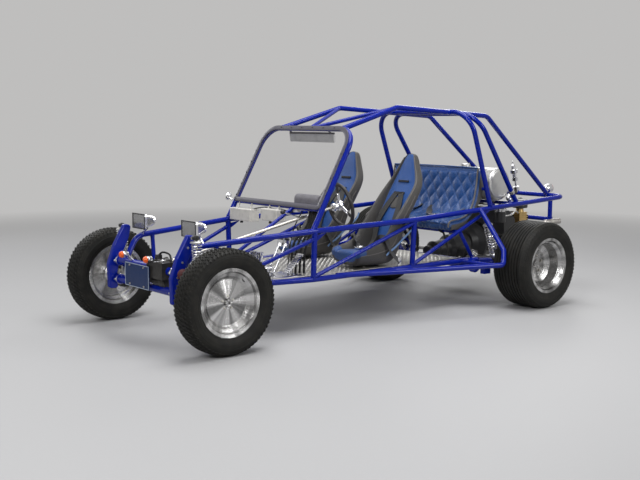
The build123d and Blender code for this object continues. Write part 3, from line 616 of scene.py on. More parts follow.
ENGINE = Zoned("engine_castings", (0.26, 0.255, 0.25), rough=0.5, zones=(
    Zone((BELL_X, -0.9, 0.0), (EVERYWHERE, 0.9, EVERYWHERE), (0.022, 0.022, 0.024), 0.0, 0.42),
    *flanks(0.105, 0.262, 0.3, (0.05, 0.048, 0.045), 0.6, 0.6),
    *flanks(0.357, 0.9, 0.0, (0.62, 0.62, 0.62), 1.0, 0.18),
    Zone((-EVERYWHERE, -0.1, 0.3), (-1.715, 0.1, 0.5), (0.03, 0.03, 0.03), 0.4, 0.3)))
CARBURETTORS = Zoned("carburettors", (0.60, 0.43, 0.19), rough=0.34, zones=(
    Zone((-EVERYWHERE, -0.9, 0.676), (EVERYWHERE, 0.9, EVERYWHERE), (0.055, 0.055, 0.058), 0.6, 0.35),
    Zone((-EVERYWHERE, -0.9, 0.0), (EVERYWHERE, 0.9, 0.552), (0.34, 0.33, 0.32), 1.0, 0.45)))
SHROUD = Zoned("fan_housing", (0.012, 0.012, 0.013), metallic=0.0, rough=0.34, zones=(
    Zone((-1.601, -0.06, 0.55), (-1.451, 0.06, 0.66), (0.20, 0.20, 0.20), 0.8, 0.35),
    Zone((-EVERYWHERE, -0.07, 0.53), (-1.601, 0.07, 0.68), (0.5, 0.5, 0.5), 1.0, 0.25)))
WHEEL_AND_HUB = Zoned("steering_wheel_grip", (0.016, 0.013, 0.012), metallic=0.0, rough=0.42, zones=(
    Zone((0.365, 0.24, 0.727), (0.535, 0.41, 0.897), (0.74, 0.74, 0.76), 1.0, 0.14),))
DASH = Zoned("dash_boxes", (0.68, 0.66, 0.61), metallic=0.0, rough=0.36, grain=0.0001, zones=(
    Zone((0.0, 0.10, 0.790), (EVERYWHERE, 0.9, EVERYWHERE), (0.20, 0.195, 0.215), 0.0, 0.3),))
FITTINGS = Zoned("rear_fittings_finish", BRIGHT, rough=0.13, grain=0.00005, zones=(
    Zone((-1.31, 0.28, 0.58), (-1.205, 0.38, 0.676), (0.018, 0.018, 0.019), 0.0, 0.35),))
MIRRORS = Zoned("mirror_backs", (0.50, 0.50, 0.49), metallic=0.0, rough=0.36, grain=0.0001, zones=(
    Zone((0.70, -0.7, 0.7), (0.95, -0.4, 0.95), BRIGHT, 1.0, 0.14),
    Zone((0.0, -0.6, 1.300), (0.60, 0.6, 1.4), (0.03, 0.03, 0.03), 0.0, 0.4)))
FLOOR_FINISH = Plastic("studio_floor", (0.42, 0.42, 0.425), rough=0.6, texture=0.0)


# Meshes
def circle(middle: Vector, u: Vector, v: Vector, radius: float, sides: int) -> list[Vector]:
    """Return points in metres round a middle, in the plane of u and v; the radius is in millimetres."""
    return [middle + (u * math.cos(a) + v * math.sin(a)) * (radius / 1000)
            for a in np.linspace(0, 2 * math.pi, sides, endpoint=False)]


def ahead_at(line: Sequence[Vector], k: int) -> Vector:
    """Return the direction of a line at one of its points."""
    return (line[min(k + 1, len(line) - 1)] - line[max(k - 1, 0)]).normalized()


def settle(mesh: bmesh.types.BMesh, data: bpy.types.Mesh) -> bpy.types.Mesh:
    """Turn a mesh's faces outward and write it into its data block.

    Args:
        mesh: the mesh that was built, which is freed.
        data: the block that takes it.

    Returns:
        The block.
    """
    bmesh.ops.recalc_face_normals(mesh, faces=mesh.faces)
    mesh.to_mesh(data)
    mesh.free()
    return data


def subdivide(piece: bpy.types.Object) -> None:
    """Smooth a soft piece by subdivision."""
    smooth = piece.modifiers.new("smooth", "SUBSURF")
    smooth.levels = smooth.render_levels = 2


class Shape:
    """Closed shapes gathered into one mesh; lengths are in millimetres behind the front axle."""

    def __init__(self) -> None:
        """Start empty."""
        self.mesh = bmesh.new()

    def skin(self, rings: Sequence[Sequence[Point]], closed: bool = False, caps: bool = True) -> "Shape":
        """Join rings of points, in metres, with quads.

        Args:
            rings: rings with the same number of points each.
            closed: whether the last ring meets the first.
            caps: whether to fill the two ends.

        Returns:
            This shape.
        """
        rows = [[self.mesh.verts.new(p) for p in ring] for ring in rings]
        count = len(rows[0])
        pairs = list(zip(rows, rows[1:])) + ([(rows[-1], rows[0])] if closed else [])
        for low, high in pairs:
            for k in range(count):
                n = (k + 1) % count
                self.mesh.faces.new((low[k], low[n], high[n], high[k]))
        if caps and not closed:
            self.mesh.faces.new(rows[0][::-1])
            self.mesh.faces.new(rows[-1])
        return self

    def lathe(self, start: Point, end: Point, rows: Rows, sides: int = 48) -> "Shape":
        """Turn rows of distance and radius about the line from start to end.

        Args:
            start: where the axis starts.
            end: a place that it points to.
            rows: distance along the axis and radius of each ring.
            sides: points round each ring.

        Returns:
            This shape.
        """
        origin = at(*start)
        axis = (at(*end) - origin).normalized()
        u = axis.orthogonal().normalized()
        v = axis.cross(u)
        rings = []
        for distance, radius in rows:
            rings.append(circle(origin + axis * (distance / 1000), u, v, max(radius, 0.05), sides))
        return self.skin(rings)

    def rod(self, start: Point, end: Point, radius: float, sides: int = 16) -> "Shape":
        """Add a straight round bar."""
        length = (at(*end) - at(*start)).length * 1000
        return self.lathe(start, end, [(0, radius), (length, radius)], sides)

    def pipe(self, points: Sequence[Point], radius: float, sides: int = 12, steps: int = 8,
             swell: Callable[[float], float] | None = None) -> "Shape":
        """Sweep a circle along a smooth line through the points.

        Args:
            points: places in millimetres.
            radius: the tube's radius.
            sides: points round the tube.
            steps: sections between two points.
            swell: factor on the radius, from the share of the way along.

        Returns:
            This shape.
        """
        line = smooth_line([at(*p) for p in points], steps)
        rings = []
        side = None
        for k, place in enumerate(line):
            ahead = ahead_at(line, k)
            side = ahead.orthogonal() if side is None else side - ahead * side.dot(ahead)
            side = side.normalized()
            r = radius * (swell(k / (len(line) - 1)) if swell else 1.0)
            rings.append(circle(place, side, ahead.cross(side), r, sides))
        return self.skin(rings)

    def brick(self, centre: Point, size: Point, turn: Matrix | None = None,
              round_off: float = 0.0) -> "Shape":
        """Add a box.

        Args:
            centre: its middle.
            size: its length, width and height.
            turn: a rotation about its middle.
            round_off: radius of its edges, or 0 for sharp ones.

        Returns:
            This shape.
        """
        made = bmesh.ops.create_cube(self.mesh, size=1.0)["verts"]
        scale = Matrix.Diagonal((*[s / 1000 for s in size], 1.0))
        spin = (turn or Matrix.Identity(3)).to_4x4()
        bmesh.ops.transform(self.mesh, matrix=Matrix.Translation(at(*centre)) @ spin @ scale, verts=made)
        if round_off:
            edges = list({e for v in made for e in v.link_edges})
            bmesh.ops.bevel(self.mesh, geom=edges, offset=round_off / 1000, segments=3, affect="EDGES",
                            profile=0.5)
        return self

    def piece(self, name: str, finish: Finish, body: str = "chassis", slot: str = "", angle: float = 35.0,
              replaces: Sequence[str] = ()) -> bpy.types.Object:
        """Turn the gathered shapes into one finished piece that rides on a body.

        Args:
            name: the piece's name.
            finish: its finish.
            body: the body it moves with.
            slot: the record's material slot; not used.
            angle: edges sharper than this stay sharp.
            replaces: solids that it stands for.

        Returns:
            The piece.
        """
        data = settle(self.mesh, bpy.data.meshes.new(name))
        data.shade_smooth()
        data.set_sharp_from_angle(angle=math.radians(angle))
        return dress(name, data, finish, body, replaces)


def smooth_line(points: Sequence[Vector], steps: int) -> list[Vector]:
    """Lay a rounded line through places.

    Args:
        points: places that the line passes.
        steps: points for each stretch between two of them.

    Returns:
        The line, with both of its ends.
    """
    ends = [points[0] * 2 - points[1], *points, points[-1] * 2 - points[-2]]
    line = []
    for a, b, c, d in zip(ends, ends[1:], ends[2:], ends[3:]):
        for k in range(steps):
            t = k / steps
            line.append(0.5 * ((2 * b) + (c - a) * t + (2 * a - 5 * b + 4 * c - d) * t * t
                               + (3 * b - a - 3 * c + d) * t ** 3))
    return line + [points[-1]]


def linked(name: str, data: bpy.types.ID) -> bpy.types.Object:
    """Make an object for a data block and link it to the scene.

    Args:
        name: the object's name.
        data: its mesh, lamp or camera.

    Returns:
        The object.
    """
    made = bpy.data.objects.new(name, data)
    bpy.context.scene.collection.objects.link(made)
    return made


def dress(name: str, data: bpy.types.Mesh, finish: Finish, body: str = "chassis",
          replaces: Sequence[str] = ()) -> bpy.types.Object:
    """Make a piece, give it its finish and let it ride on its body.

    Args:
        name: the piece's name.
        data: its mesh; a mesh that has materials keeps them.
        finish: its finish.
        body: the body it moves with.
        replaces: solids that it stands for.

    Returns:
        The piece.
    """
    piece = linked(name, data)
    if not data.materials:
        data.materials.append(finish.material())
    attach(piece, body)
    if replaces:
        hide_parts(*replaces)
    LOG.info("%s: %d faces on %s", piece.name, len(piece.data.polygons), body)
    return piece


# Geometry nodes
class Tree(Nodes):
    """A Geometry Nodes tree with named inputs; a constant such as "@Radius" stands for one of them."""

    def __init__(self, name: str, inputs: Sequence[tuple[str, str, object]]) -> None:
        """Make the tree and its interface.

        Args:
            name: the tree's name.
            inputs: name, socket type and default of each size.
        """
        super().__init__(bpy.data.node_groups.new(name, "GeometryNodeTree"))
        face = self.tree.interface
        face.new_socket("Geometry", in_out="INPUT", socket_type="NodeSocketGeometry")
        for label, kind, default in inputs:
            socket = face.new_socket(label, in_out="INPUT", socket_type=kind)
            if default is not None:
                socket.default_value = default
        face.new_socket("Geometry", in_out="OUTPUT", socket_type="NodeSocketGeometry")
        self.input = self.tree.nodes.new("NodeGroupInput")
        self.output = self.tree.nodes.new("NodeGroupOutput")

    def join(self, socket: bpy.types.NodeSocket, value: object) -> None:
        """Join a value; one that starts with "@" stands for the input named after it.

        Args:
            socket: the input.
            value: "@" and an input of the tree, another socket's value, or a constant.
        """
        if isinstance(value, str) and value.startswith("@"):
            value = Value(self, self.input.outputs[value[1:]])
        super().join(socket, value)

    def end(self, geometry: Value) -> None:
        """Realize the instances, set the material and finish the tree.

        Args:
            geometry: what the tree gives out.
        """
        real = self.node("GeometryNodeRealizeInstances", {}, {0: geometry})
        flat = self.node("GeometryNodeSetShadeSmooth", {}, {0: real, "Shade Smooth": False})
        painted = self.node("GeometryNodeSetMaterial", {}, {"Geometry": flat, "Material": "@Material"})
        self.join(self.output.inputs[0], painted)

    def grow(self, name: str, seed: bpy.types.Mesh, finish: Finish, sizes: dict, body: str = "chassis",
             slot: str = "") -> bpy.types.Object:
        """Run the tree on a seed mesh and keep the plain result as a piece.

        Args:
            name: the piece's name.
            seed: the mesh that carries the points.
            finish: its finish.
            sizes: tree input name to value.
            body: the body it moves with.
            slot: the record's material slot; not used.

        Returns:
            The piece, with no modifier left.
        """
        holder = linked(name + "_seed", seed)
        modifier = holder.modifiers.new("grow", "NODES")
        modifier.node_group = self.tree
        names = {s.name: s.identifier for s in self.tree.interface.items_tree if s.in_out == "INPUT"}
        for label, value in {**sizes, "Material": finish.material()}.items():
            modifier[names[label]] = value
        graph = bpy.context.evaluated_depsgraph_get()
        result = bpy.data.meshes.new_from_object(holder.evaluated_get(graph))
        result.name = name
        bpy.data.objects.remove(holder)
        mesh = bmesh.new()
        mesh.from_mesh(result)
        return dress(name, settle(mesh, result), finish, body)


def seed_points(name: str, rows: Sequence[tuple[Vector, Matrix, Point]]) -> bpy.types.Mesh:
    """Make a mesh of loose points that carry a turn and a size each.

    Args:
        name: the mesh's name.
        rows: place in metres, rotation and size of each.

    Returns:
        The mesh, with the attributes "turn" and "size".
    """
    mesh = bpy.data.meshes.new(name)
    mesh.from_pydata([tuple(place) for place, _, _ in rows], [], [])
    turns = mesh.attributes.new("turn", "FLOAT_VECTOR", "POINT")
    sizes = mesh.attributes.new("size", "FLOAT_VECTOR", "POINT")
    turns.data.foreach_set("vector", [c for _, turn, _ in rows for c in turn.to_euler()])
    sizes.data.foreach_set("vector", [c for _, _, size in rows for c in size])
    return mesh


class Seeded(Enum):
    """The small solids that a scatter tree can set on its points."""

    STUD = "stud"
    BEAD = "bead"


def scatter_tree(kind: Seeded) -> Tree:
    """Build the tree that sets one small solid on every point of its seed.

    Args:
        kind: which solid.

    Returns:
        The tree; its inputs are Sides, Taper, Spin, Stretch and Material.
    """
    tree = Tree("scatter_" + kind.name.lower(), [
        ("Sides", "NodeSocketInt", 6), ("Taper", "NodeSocketFloat", 0.9), ("Spin", "NodeSocketVector", None),
        ("Stretch", "NodeSocketVector", (1.0, 1.0, 1.0)), ("Material", "NodeSocketMaterial", None)])
    if kind is Seeded.BEAD:
        solid = tree.node("GeometryNodeMeshIcoSphere", {}, {"Radius": 0.5, "Subdivisions": 2})
    else:
        cone = tree.node("GeometryNodeMeshCone", {"fill_type": "NGON"},
                         {"Vertices": "@Sides", "Radius Top": "@Taper", "Radius Bottom": 1.0, "Depth": 1.0},
                         "Mesh")
        solid = tree.node("GeometryNodeTransform", {}, {"Geometry": cone, "Rotation": "@Spin",
                                                        "Scale": "@Stretch"})
    turn, size = (tree.node("GeometryNodeInputNamedAttribute", {"data_type": "FLOAT_VECTOR"}, {"Name": name})
                  for name in ("turn", "size"))
    spin = tree.node("FunctionNodeEulerToRotation", {}, {0: turn})
    dots = tree.node("GeometryNodeMeshToPoints", {}, {0: "@Geometry"})
    tree.end(tree.node("GeometryNodeInstanceOnPoints", {},
                       {"Points": dots, "Instance": solid, "Rotation": spin, "Scale": size}))
    return tree


STUDS = scatter_tree(Seeded.STUD)
BEADS = scatter_tree(Seeded.BEAD)


def spring_tree() -> Tree:
    """Build the tree that winds a wire spring along its own axis and lays it in place.

    Returns:
        The tree; its inputs are Turns, Radius, Length, Wire, Place, Turn and Material.
    """
    tree = Tree("spring", [("Turns", "NodeSocketFloat", 9.0), ("Radius", "NodeSocketFloat", 0.03),
                           ("Length", "NodeSocketFloat", 0.2), ("Wire", "NodeSocketFloat", 0.005),
                           ("Place", "NodeSocketVector", None), ("Turn", "NodeSocketVector", None),
                           ("Material", "NodeSocketMaterial", None)])
    helix = tree.node("GeometryNodeCurveSpiral", {}, {
        "Resolution": 20, "Rotations": "@Turns", "Start Radius": "@Radius", "End Radius": "@Radius",
        "Height": "@Length"})
    wire = tree.node("GeometryNodeCurvePrimitiveCircle", {}, {"Resolution": 8, "Radius": "@Wire"})
    tube = tree.node("GeometryNodeCurveToMesh", {},
                     {"Curve": helix, "Profile Curve": wire, "Fill Caps": True})
    tree.end(tree.node("GeometryNodeTransform", {}, {"Geometry": tube, "Translation": "@Place",
                                                    "Rotation": "@Turn"}))
    return tree


def facing(direction: Vector) -> Matrix:
    """Return a rotation that takes +Z to a direction."""
    return direction.to_track_quat("Z", "Y").to_matrix()


# Wheels
@dataclass
class Tyre:
    """One tyre: carcass with side wall rings, and tread blocks set on it by Geometry Nodes.

    Each row of the tread has as many blocks as the pitch says, and they are as high as the depth. A narrow
    tyre's rows are staggered, and a wide one has grooves at distances from its middle plane.
    """

    body: str
    back: float
    y: float
    radius: float
    half: float
    seat: float
    wide: bool
    pitch: int = 68
    depth: float = 5.5
    sunk: float = 0.25
    sides: int = 128
    stagger: tuple[float, ...] = (0.0, 0.0, 0.5, 0.5)
    grooves: tuple[float, ...] = (16, 42, 68, 94)

    def profile(self) -> list[tuple[float, float]]:
        """Lay out one half of the section.

        Returns:
            Offset from the middle plane and radius of each corner, from the tread to the bead.
        """
        r, h, base = self.radius, self.half, self.radius - self.depth
        tread: list[tuple[float, float]] = [(0, base), (h * 0.4, base - 0.5)]
        if self.wide:
            top = r - 0.6
            tread = [(0, top)]
            for groove in self.grooves:
                tread += [(groove + dy, top if abs(dy) == 5 else base - 1) for dy in (-5, -4, 4, 5)]
            tread.append((h - 34, top - 1.6))
        wall = [(h - 26, base * 0.987), (h - 12, base * 0.965), (h - 5, r * 0.915), (h - 1.5, r * 0.87),
                (h - 2.5, r * 0.862), (h, r * 0.85), (h, r * 0.80), (h - 1.0, r * 0.765),
                (h - 2.8, r * 0.758), (h - 3.0, r * 0.75), (h - 6, r * 0.72), (self.seat + 12, 219),
                (self.seat + 9, 213.5), (self.seat + 6, 212), (self.seat + 4, 208.5), (self.seat, 204),
                (self.seat - 1, 192)]
        return tread + wall

    def blocks(self) -> list[tuple[Vector, Matrix, Point]]:
        """Lay out the tread blocks.

        Returns:
            Place, turn and size of each block.
        """
        r, h, t = self.radius, self.half, self.depth
        if self.wide:
            # distance from the middle, width, filled share of the pitch, tilt, share of the tyre's radius
            rows = [(h - 13, 10, 0.70, 24.0, 0.944), (h - 27, 12, 0.74, 13.0, 0.974)]
        else:
            rows = [(h - 12, 14, 0.58, 26.0, 0.952), (h - 30, 16, 0.66, 9.0, 0.987),
                    (h - 50, 15, 0.68, 3.0, 0.998), (11, 17, 0.70, 0.0, 0.9995)]
        made = []
        for number, (offset, width, fill, tilt, drop) in enumerate(rows):
            for side in (-1, 1):
                for k in range(self.pitch):
                    shift = 0.0 if self.wide else self.stagger[number] + 0.5 * (side > 0)
                    angle = 2 * math.pi * (k + shift) / self.pitch
                    out = Vector((math.cos(angle), 0, math.sin(angle)))
                    lean = math.radians(tilt) * side
                    up = out * math.cos(lean) + Vector((0, 1, 0)) * math.sin(lean)
                    along = out.cross(Vector((0, 1, 0)))
                    across = up.cross(along)
                    turn = Matrix((along, across, up)).transposed()
                    length = 2 * math.pi * r / self.pitch * fill
                    foot = r * drop - t - self.sunk
                    centre = at(self.back, self.y + side * offset, r) + out * (foot / 1000)
                    made.append((centre, turn, (length / 2000, width / 1000, t / 1000)))
        return made

    def build(self) -> None:
        """Make the carcass and the blocks."""
        half = self.profile()
        rows = [(-u, r) for u, r in reversed(half[1:])] + half
        middle = at(self.back, self.y, self.radius)
        rings = []
        for k in range(self.sides):
            a = 2 * math.pi * k / self.sides
            out = Vector((math.cos(a), 0, math.sin(a)))
            rings.append([middle + out * (r / 1000) + Vector((0, u / 1000, 0)) for u, r in rows])
        name = self.body.replace("_road_wheel", "")
        Shape().skin(rings, closed=True).piece(name + "_tyre_carcass", TYRE, self.body, "tyre", 28.0,
                                               [name + "_tyre"])
        square = {"Sides": 4, "Taper": 0.86, "Spin": (0.0, 0.0, math.pi / 4), "Stretch": (1.414, 0.707, 1.0)}
        STUDS.grow(name + "_tread", seed_points(name + "_tread_seed", self.blocks()), TYRE, square,
                   self.body, "tyre")


@dataclass
class Wheels:
    """The four tyres, and the valves and nuts of the wheels."""

    # end, distance behind the front axle, middle plane, tyre radius, half width and half the bead seat;
    # valve: distance out of the middle plane, radius and angle; nuts: distance out, ring radius and size
    rows: tuple = (
        ("front", 0, FRONT_WHEEL_Y, FRONT_TYRE_R, 85.0, 55, (24, 165, 130), (27, 40, 7)),
        ("rear", WHEELBASE, REAR_WHEEL_Y, REAR_TYRE_R, 150.0, 129, (96, 158, 310), (8, 66, 11)))

    def build(self) -> None:
        """Make every tyre, valve and ring of nuts."""
        for side, word in SIDES:
            for end, back, y, radius, half, seat, valve, nuts in self.rows:
                name = f"{word}_{end}"
                Tyre(name + "_road_wheel", back, side * y, radius, half, seat, end == "rear").build()
                self.valve(name, (back, side * (y + valve[0]), radius), side, *valve[1:])
                self.nuts(name, (back, side * (y + nuts[0]), radius), side, *nuts[1:])

    def nuts(self, name: str, middle: Point, side: int, ring: float, size: float) -> None:
        """Set the ring of five nuts round one hub.

        Args:
            name: side and end of the wheel.
            middle: middle of the ring.
            side: 1 on the left, -1 on the right.
            ring: radius of the ring.
            size: radius of a nut.
        """
        turn, scale = facing(Vector((0, side, 0))), (size / 1000, size / 1000, size / 900)
        rows = [(at(*round_axle(middle, ring, 18 + 72 * k)), turn, scale) for k in range(5)]
        STUDS.grow(name + "_nuts", seed_points(name + "_nut_seed", rows), STEEL,
                   {"Sides": 6, "Taper": 0.82}, name + "_road_wheel", "zinc_steel")

    def valve(self, name: str, middle: Point, side: int, radius: float, angle: float) -> None:
        """Add the rubber valve stem of one rim.

        Args:
            name: side and end of the wheel.
            middle: a place on the wheel's axis, level with the stem's foot.
            side: 1 on the left, -1 on the right.
            radius: distance of the foot from the axis.
            angle: degrees from the front, over the top.
        """
        foot = round_axle(middle, radius, angle)
        tip = round_axle((middle[0], middle[1] + side * 30, middle[2]), radius - 9, angle)
        stem = [(0, 7), (6, 6), (10, 4), (22, 3.6), (22, 4.4), (31, 4.4), (31, 0)]
        Shape().lathe(foot, tip, stem, 16).piece(name + "_valve", BLACK, name + "_road_wheel", "black_grip")


# Seats
@dataclass(frozen=True)
class Station:
    """One section of a seat: its front and back points, half width, how far the side bolsters stand and
    at which share of the half width the seam lies."""

    front: tuple[float, float]
    back: tuple[float, float]
    half: float
    bolster: float
    seam: float = 0.60

    @property
    def ahead(self) -> Vector:
        """The way from the back point to the front one; its length is the seat's depth."""
        return Vector((self.front[0] - self.back[0], 0, self.front[1] - self.back[1]))

    def spot(self, place: float, rise: float, offset: float, sunk: float = 0.0) -> Point:
        """Return one place of the section in millimetres.

        Args:
            place: place across, with the seam at 0.6.
            rise: share of the bolster's height.
            offset: distance out of the face.
            sunk: share of the depth behind the face.

        Returns:
            Distance behind the front axle, distance from the seat's middle and height.
        """
        if place <= 0.6:
            across = place / 0.6 * self.seam * self.half
        else:
            across = (self.seam + (place - 0.6) / 0.4 * (1.0 - self.seam)) * self.half
        out = self.bolster * rise + offset * min(1.0, self.half / 120) - self.ahead.length * sunk
        way = self.ahead.normalized()
        return self.front[0] + way.x * out, across, self.front[1] + way.z * out


SEAT_STATIONS = (
    Station((1262, 466), (1270, 404), 142, 0), Station((1282, 487), (1286, 384), 157, 6),
    Station((1330, 484), (1335, 380), 160, 22), Station((1400, 480), (1400, 378), 160, 36),
    Station((1500, 474), (1520, 374), 161, 78), Station((1580, 480), (1635, 374), 162, 118, 0.62),
    Station((1628, 520), (1690, 470), 162, 126, 0.64), Station((1658, 600), (1724, 590), 162, 110, 0.68),
    Station((1692, 690), (1760, 690), 162, 90, 0.73), Station((1745, 775), (1815, 772), 162, 70, 0.77),
    Station((1798, 862), (1872, 858), 160, 50, 0.79), Station((1838, 930), (1915, 925), 152, 28, 0.80),
    Station((1858, 985), (1934, 985), 130, 13, 0.80), Station((1872, 1040), (1942, 1040), 99, 8, 0.80),
    Station((1885, 1090), (1949, 1090), 74, 6, 0.80), Station((1897, 1130), (1954, 1130), 52, 4, 0.80),
    Station((1912, 1160), (1950, 1158), 28, 0, 0.80),
)
NOSE_STATIONS = 2
# Section across a seat: place across with the seam at 0.6, share of the bolster's height, offset in mm,
# share of the depth
SEAT_SECTION = (
    (0.0, 0.0, 5.0, 0.0), (0.30, 0.0, 4.0, 0.0), (0.50, 0.0, 2.0, 0.0), (0.575, 0.0, -4.0, 0.0),
    (0.60, 0.0, -9.0, 0.0), (0.625, 0.10, -4.0, 0.0), (0.68, 0.42, 2.0, 0.0), (0.77, 0.78, 3.0, 0.0),
    (0.87, 0.98, 3.0, 0.0), (0.95, 1.0, -2.0, 0.0), (0.985, 0.92, -6.0, 0.0), (1.0, 0.80, -14.0, 0.0),
    (1.0, 0.60, -30.0, 0.0), (0.975, 0.38, -38.0, 0.1), (0.90, 0.10, -18.0, 0.5), (0.75, 0.0, 0.0, 0.85),
    (0.50, 0.0, 0.0, 1.0),
)
SLOPE_AT_SLOT = Matrix.Rotation(math.radians(-31), 3, "Y")
SLOPE_AT_SLIT = Matrix.Rotation(math.radians(-21), 3, "Y")


def ribbon(shape: Shape, points: Sequence[Point], width: float, up: Vector, thick: float = 2.4) -> Shape:
    """Lay a flat strap along points.

    Args:
        shape: the shape that takes it.
        points: its middle line in millimetres.
        width: its width.
        up: roughly the way that its face looks.
        thick: its thickness.

    Returns:
        The same shape.
    """
    line = smooth_line([at(*p) for p in points], 6)
    rings = []
    for k, place in enumerate(line):
        ahead = ahead_at(line, k)
        across = ahead.cross(up).normalized()
        face = across.cross(ahead)
        w, t = across * (width / 2000), face * (thick / 2000)
        rings.append([place + w + t, place - w + t, place - w - t, place + w - t])
    return shape.skin(rings)


@dataclass
class BucketSeat:
    """A high-backed bucket seat: blue face, taupe bolsters, piping, harness slots and belts."""

    name: str
    centre: float

    def section(self, station: Station) -> list[Vector]:
        """Lay out the ring of one station.

        Args:
            station: the station.

        Returns:
            Its points in metres.
        """
        half = [station.spot(*row) for row in SEAT_SECTION]
        way = station.ahead.normalized()
        last = (station.back[0] - way.x, 0.0, station.back[1] - way.z)
        ring = half + [last] + [(b, -y, z) for b, y, z in reversed(half[1:])]
        return [at(*p) for p in mirrored(ring, 1, self.centre)]

    def cover(self) -> None:
        """Make the padded body with a blue face and nose and taupe sides."""
        mesh = bmesh.new()
        rings = [[mesh.verts.new(p) for p in self.section(s)] for s in SEAT_STATIONS]
        count = len(rings[0])
        for number, (low, high) in enumerate(zip(rings, rings[1:])):
            blue = 12 if number < NOSE_STATIONS else 4
            for k in range(count):
                n = (k + 1) % count
                face = mesh.faces.new((low[k], low[n], high[n], high[k]))
                face.material_index = 0 if min(k, count - 1 - k) < blue else 1
        mesh.faces.new(rings[0][::-1]).material_index = 0
        mesh.faces.new(rings[-1]).material_index = 1
        data = settle(mesh, bpy.data.meshes.new(self.name + "_cover"))
        data.materials.append(SEAT_BLUE.material())
        data.materials.append(SEAT_TAUPE.material())
        data.shade_smooth()
        cover = dress(data.name, data, SEAT_BLUE, replaces=[self.name])
        subdivide(cover)

    def along_side(self, place: float, rise: float, offset: float, side: int, first: int,
                   last: int) -> list[Point]:
        """Return places that follow the seat at one place of its section."""
        line = [station.spot(place, rise, offset) for station in SEAT_STATIONS[first:last]]
        return mirrored(line, side, self.centre)

    def trim(self) -> None:
        """Add piping along the seams, the harness slots, each filled with a black block as painted shade for
        its opening, and the small pad between the belts.
        """
        seams, edges = Shape(), Shape()
        for side in (-1, 1):
            seams.pipe(self.along_side(0.602, 0.02, -4.0, side, 2, 16), 2.6, 6, 3)
            edges.pipe(self.along_side(0.958, 0.86, -1.5, side, 1, 16), 3.0, 6, 3)
            edges.pipe(self.along_side(0.99, 0.50, -32.0, side, 1, 11), 2.8, 6, 3)
        seams.piece(self.name + "_seam_piping", SEAT_TAUPE, slot="seat_vinyl")
        edges.piece(self.name + "_edge_piping", PIPING, slot="seat_vinyl")
        slots = Shape()
        for back, z, height, turn in ((1840, 958, 9, SLOPE_AT_SLIT), (1794, 872, 15, SLOPE_AT_SLOT)):
            rise, run = height / 2 * turn[2][2], height / 2 * abs(turn[2][0])
            for side in (-1, 1):
                slots.brick((back, self.centre + side * 48, z), (13, 6, height + 8), turn, 2)
                slots.brick((back + side * run, self.centre, z + side * rise), (13, 96, 5), turn, 2)
            # Painted shade: a black block fills each slot where the dark inside of the opening would be.
            slots.brick((back + 1, self.centre, z), (9, 96, height), turn, 1)
        slots.piece(self.name + "_slots", BLACK, slot="black_grip")
        # front, back, half width and height of the pad
        rows = ((1776, 1794, 22, 848), (1759, 1778, 30, 822), (1732, 1751, 38, 780), (1724, 1742, 34, 762))
        pad = Shape().skin([[at(b, self.centre + y, z) for b, y in ((f, -w), (f, w), (r, w), (r, -w))]
                            for f, r, w, z in rows])
        made = pad.piece(self.name + "_back_pad", SEAT_TAUPE, slot="seat_vinyl", angle=180)
        subdivide(made)

    def belts(self) -> None:
        """Add shoulder and lap belts with their buckle and anchors."""
        strap = Shape()
        shoulder = ((1850, 27, 874), (1790, 28, 868), (1772, 38, 845), (1724, 64, 770), (1674, 80, 690),
                    (1636, 78, 600), (1594, 60, 520), (1500, 36, 488), (1440, 20, 490))
        lap = ((1640, 174, 396), (1560, 176, 470), (1500, 172, 572), (1476, 136, 578), (1462, 88, 520),
               (1432, 30, 492))
        for side in (-1, 1):
            ribbon(strap, mirrored(shoulder, side, self.centre), 50, Vector((1, 0, 0.5)))
            ribbon(strap, mirrored(lap, side, self.centre), 40, Vector((0, side, 0.6)))
        strap.piece(self.name + "_belts", WEB_BLACK, slot="seat_vinyl")
        hanging = ((1512, 172, 452), (1539, 174, 474), (1606, 175, 512), (1675, 175, 562), (1744, 175, 610),
                   (1804, 172, 652), (1836, 160, 690))
        loose = ribbon(Shape(), mirrored(hanging, 1, self.centre), 13, Vector((0, 1, 0.2)))
        loose.piece(self.name + "_side_strap", WEB_BLUE, slot="seat_vinyl")
        buckle = Shape().brick((1420, self.centre, 496), (70, 60, 16), round_off=4)
        buckle.lathe((1420, self.centre, 500), (1420, self.centre, 512),
                     [(0, 24), (8, 24), (11, 20), (11, 0)], 32)
        for side in (-1, 1):
            buckle.brick((1640, self.centre + side * 174, 396), (34, 6, 56), round_off=2)
        buckle.piece(self.name + "_buckle", CHROME, slot="chrome")

    def build(self) -> None:
        """Make the whole seat."""
        self.cover()
        self.trim()
        self.belts()


BENCH_FRONT = ((2508, 1040), (2493, 1030), (2486, 960), (2471, 870), (2449, 790), (2415, 728), (2372, 688),
               (2310, 668), (2240, 660), (2200, 654), (2179, 634), (2175, 606), (2184, 584), (2200, 579))
BENCH_REAR = ((2552, 1038), (2562, 1026), (2571, 960), (2559, 872), (2533, 798), (2490, 738), (2430, 679),
              (2345, 615), (2288, 590), (2260, 588), (2240, 586), (2226, 584), (2214, 582), (2202, 580))


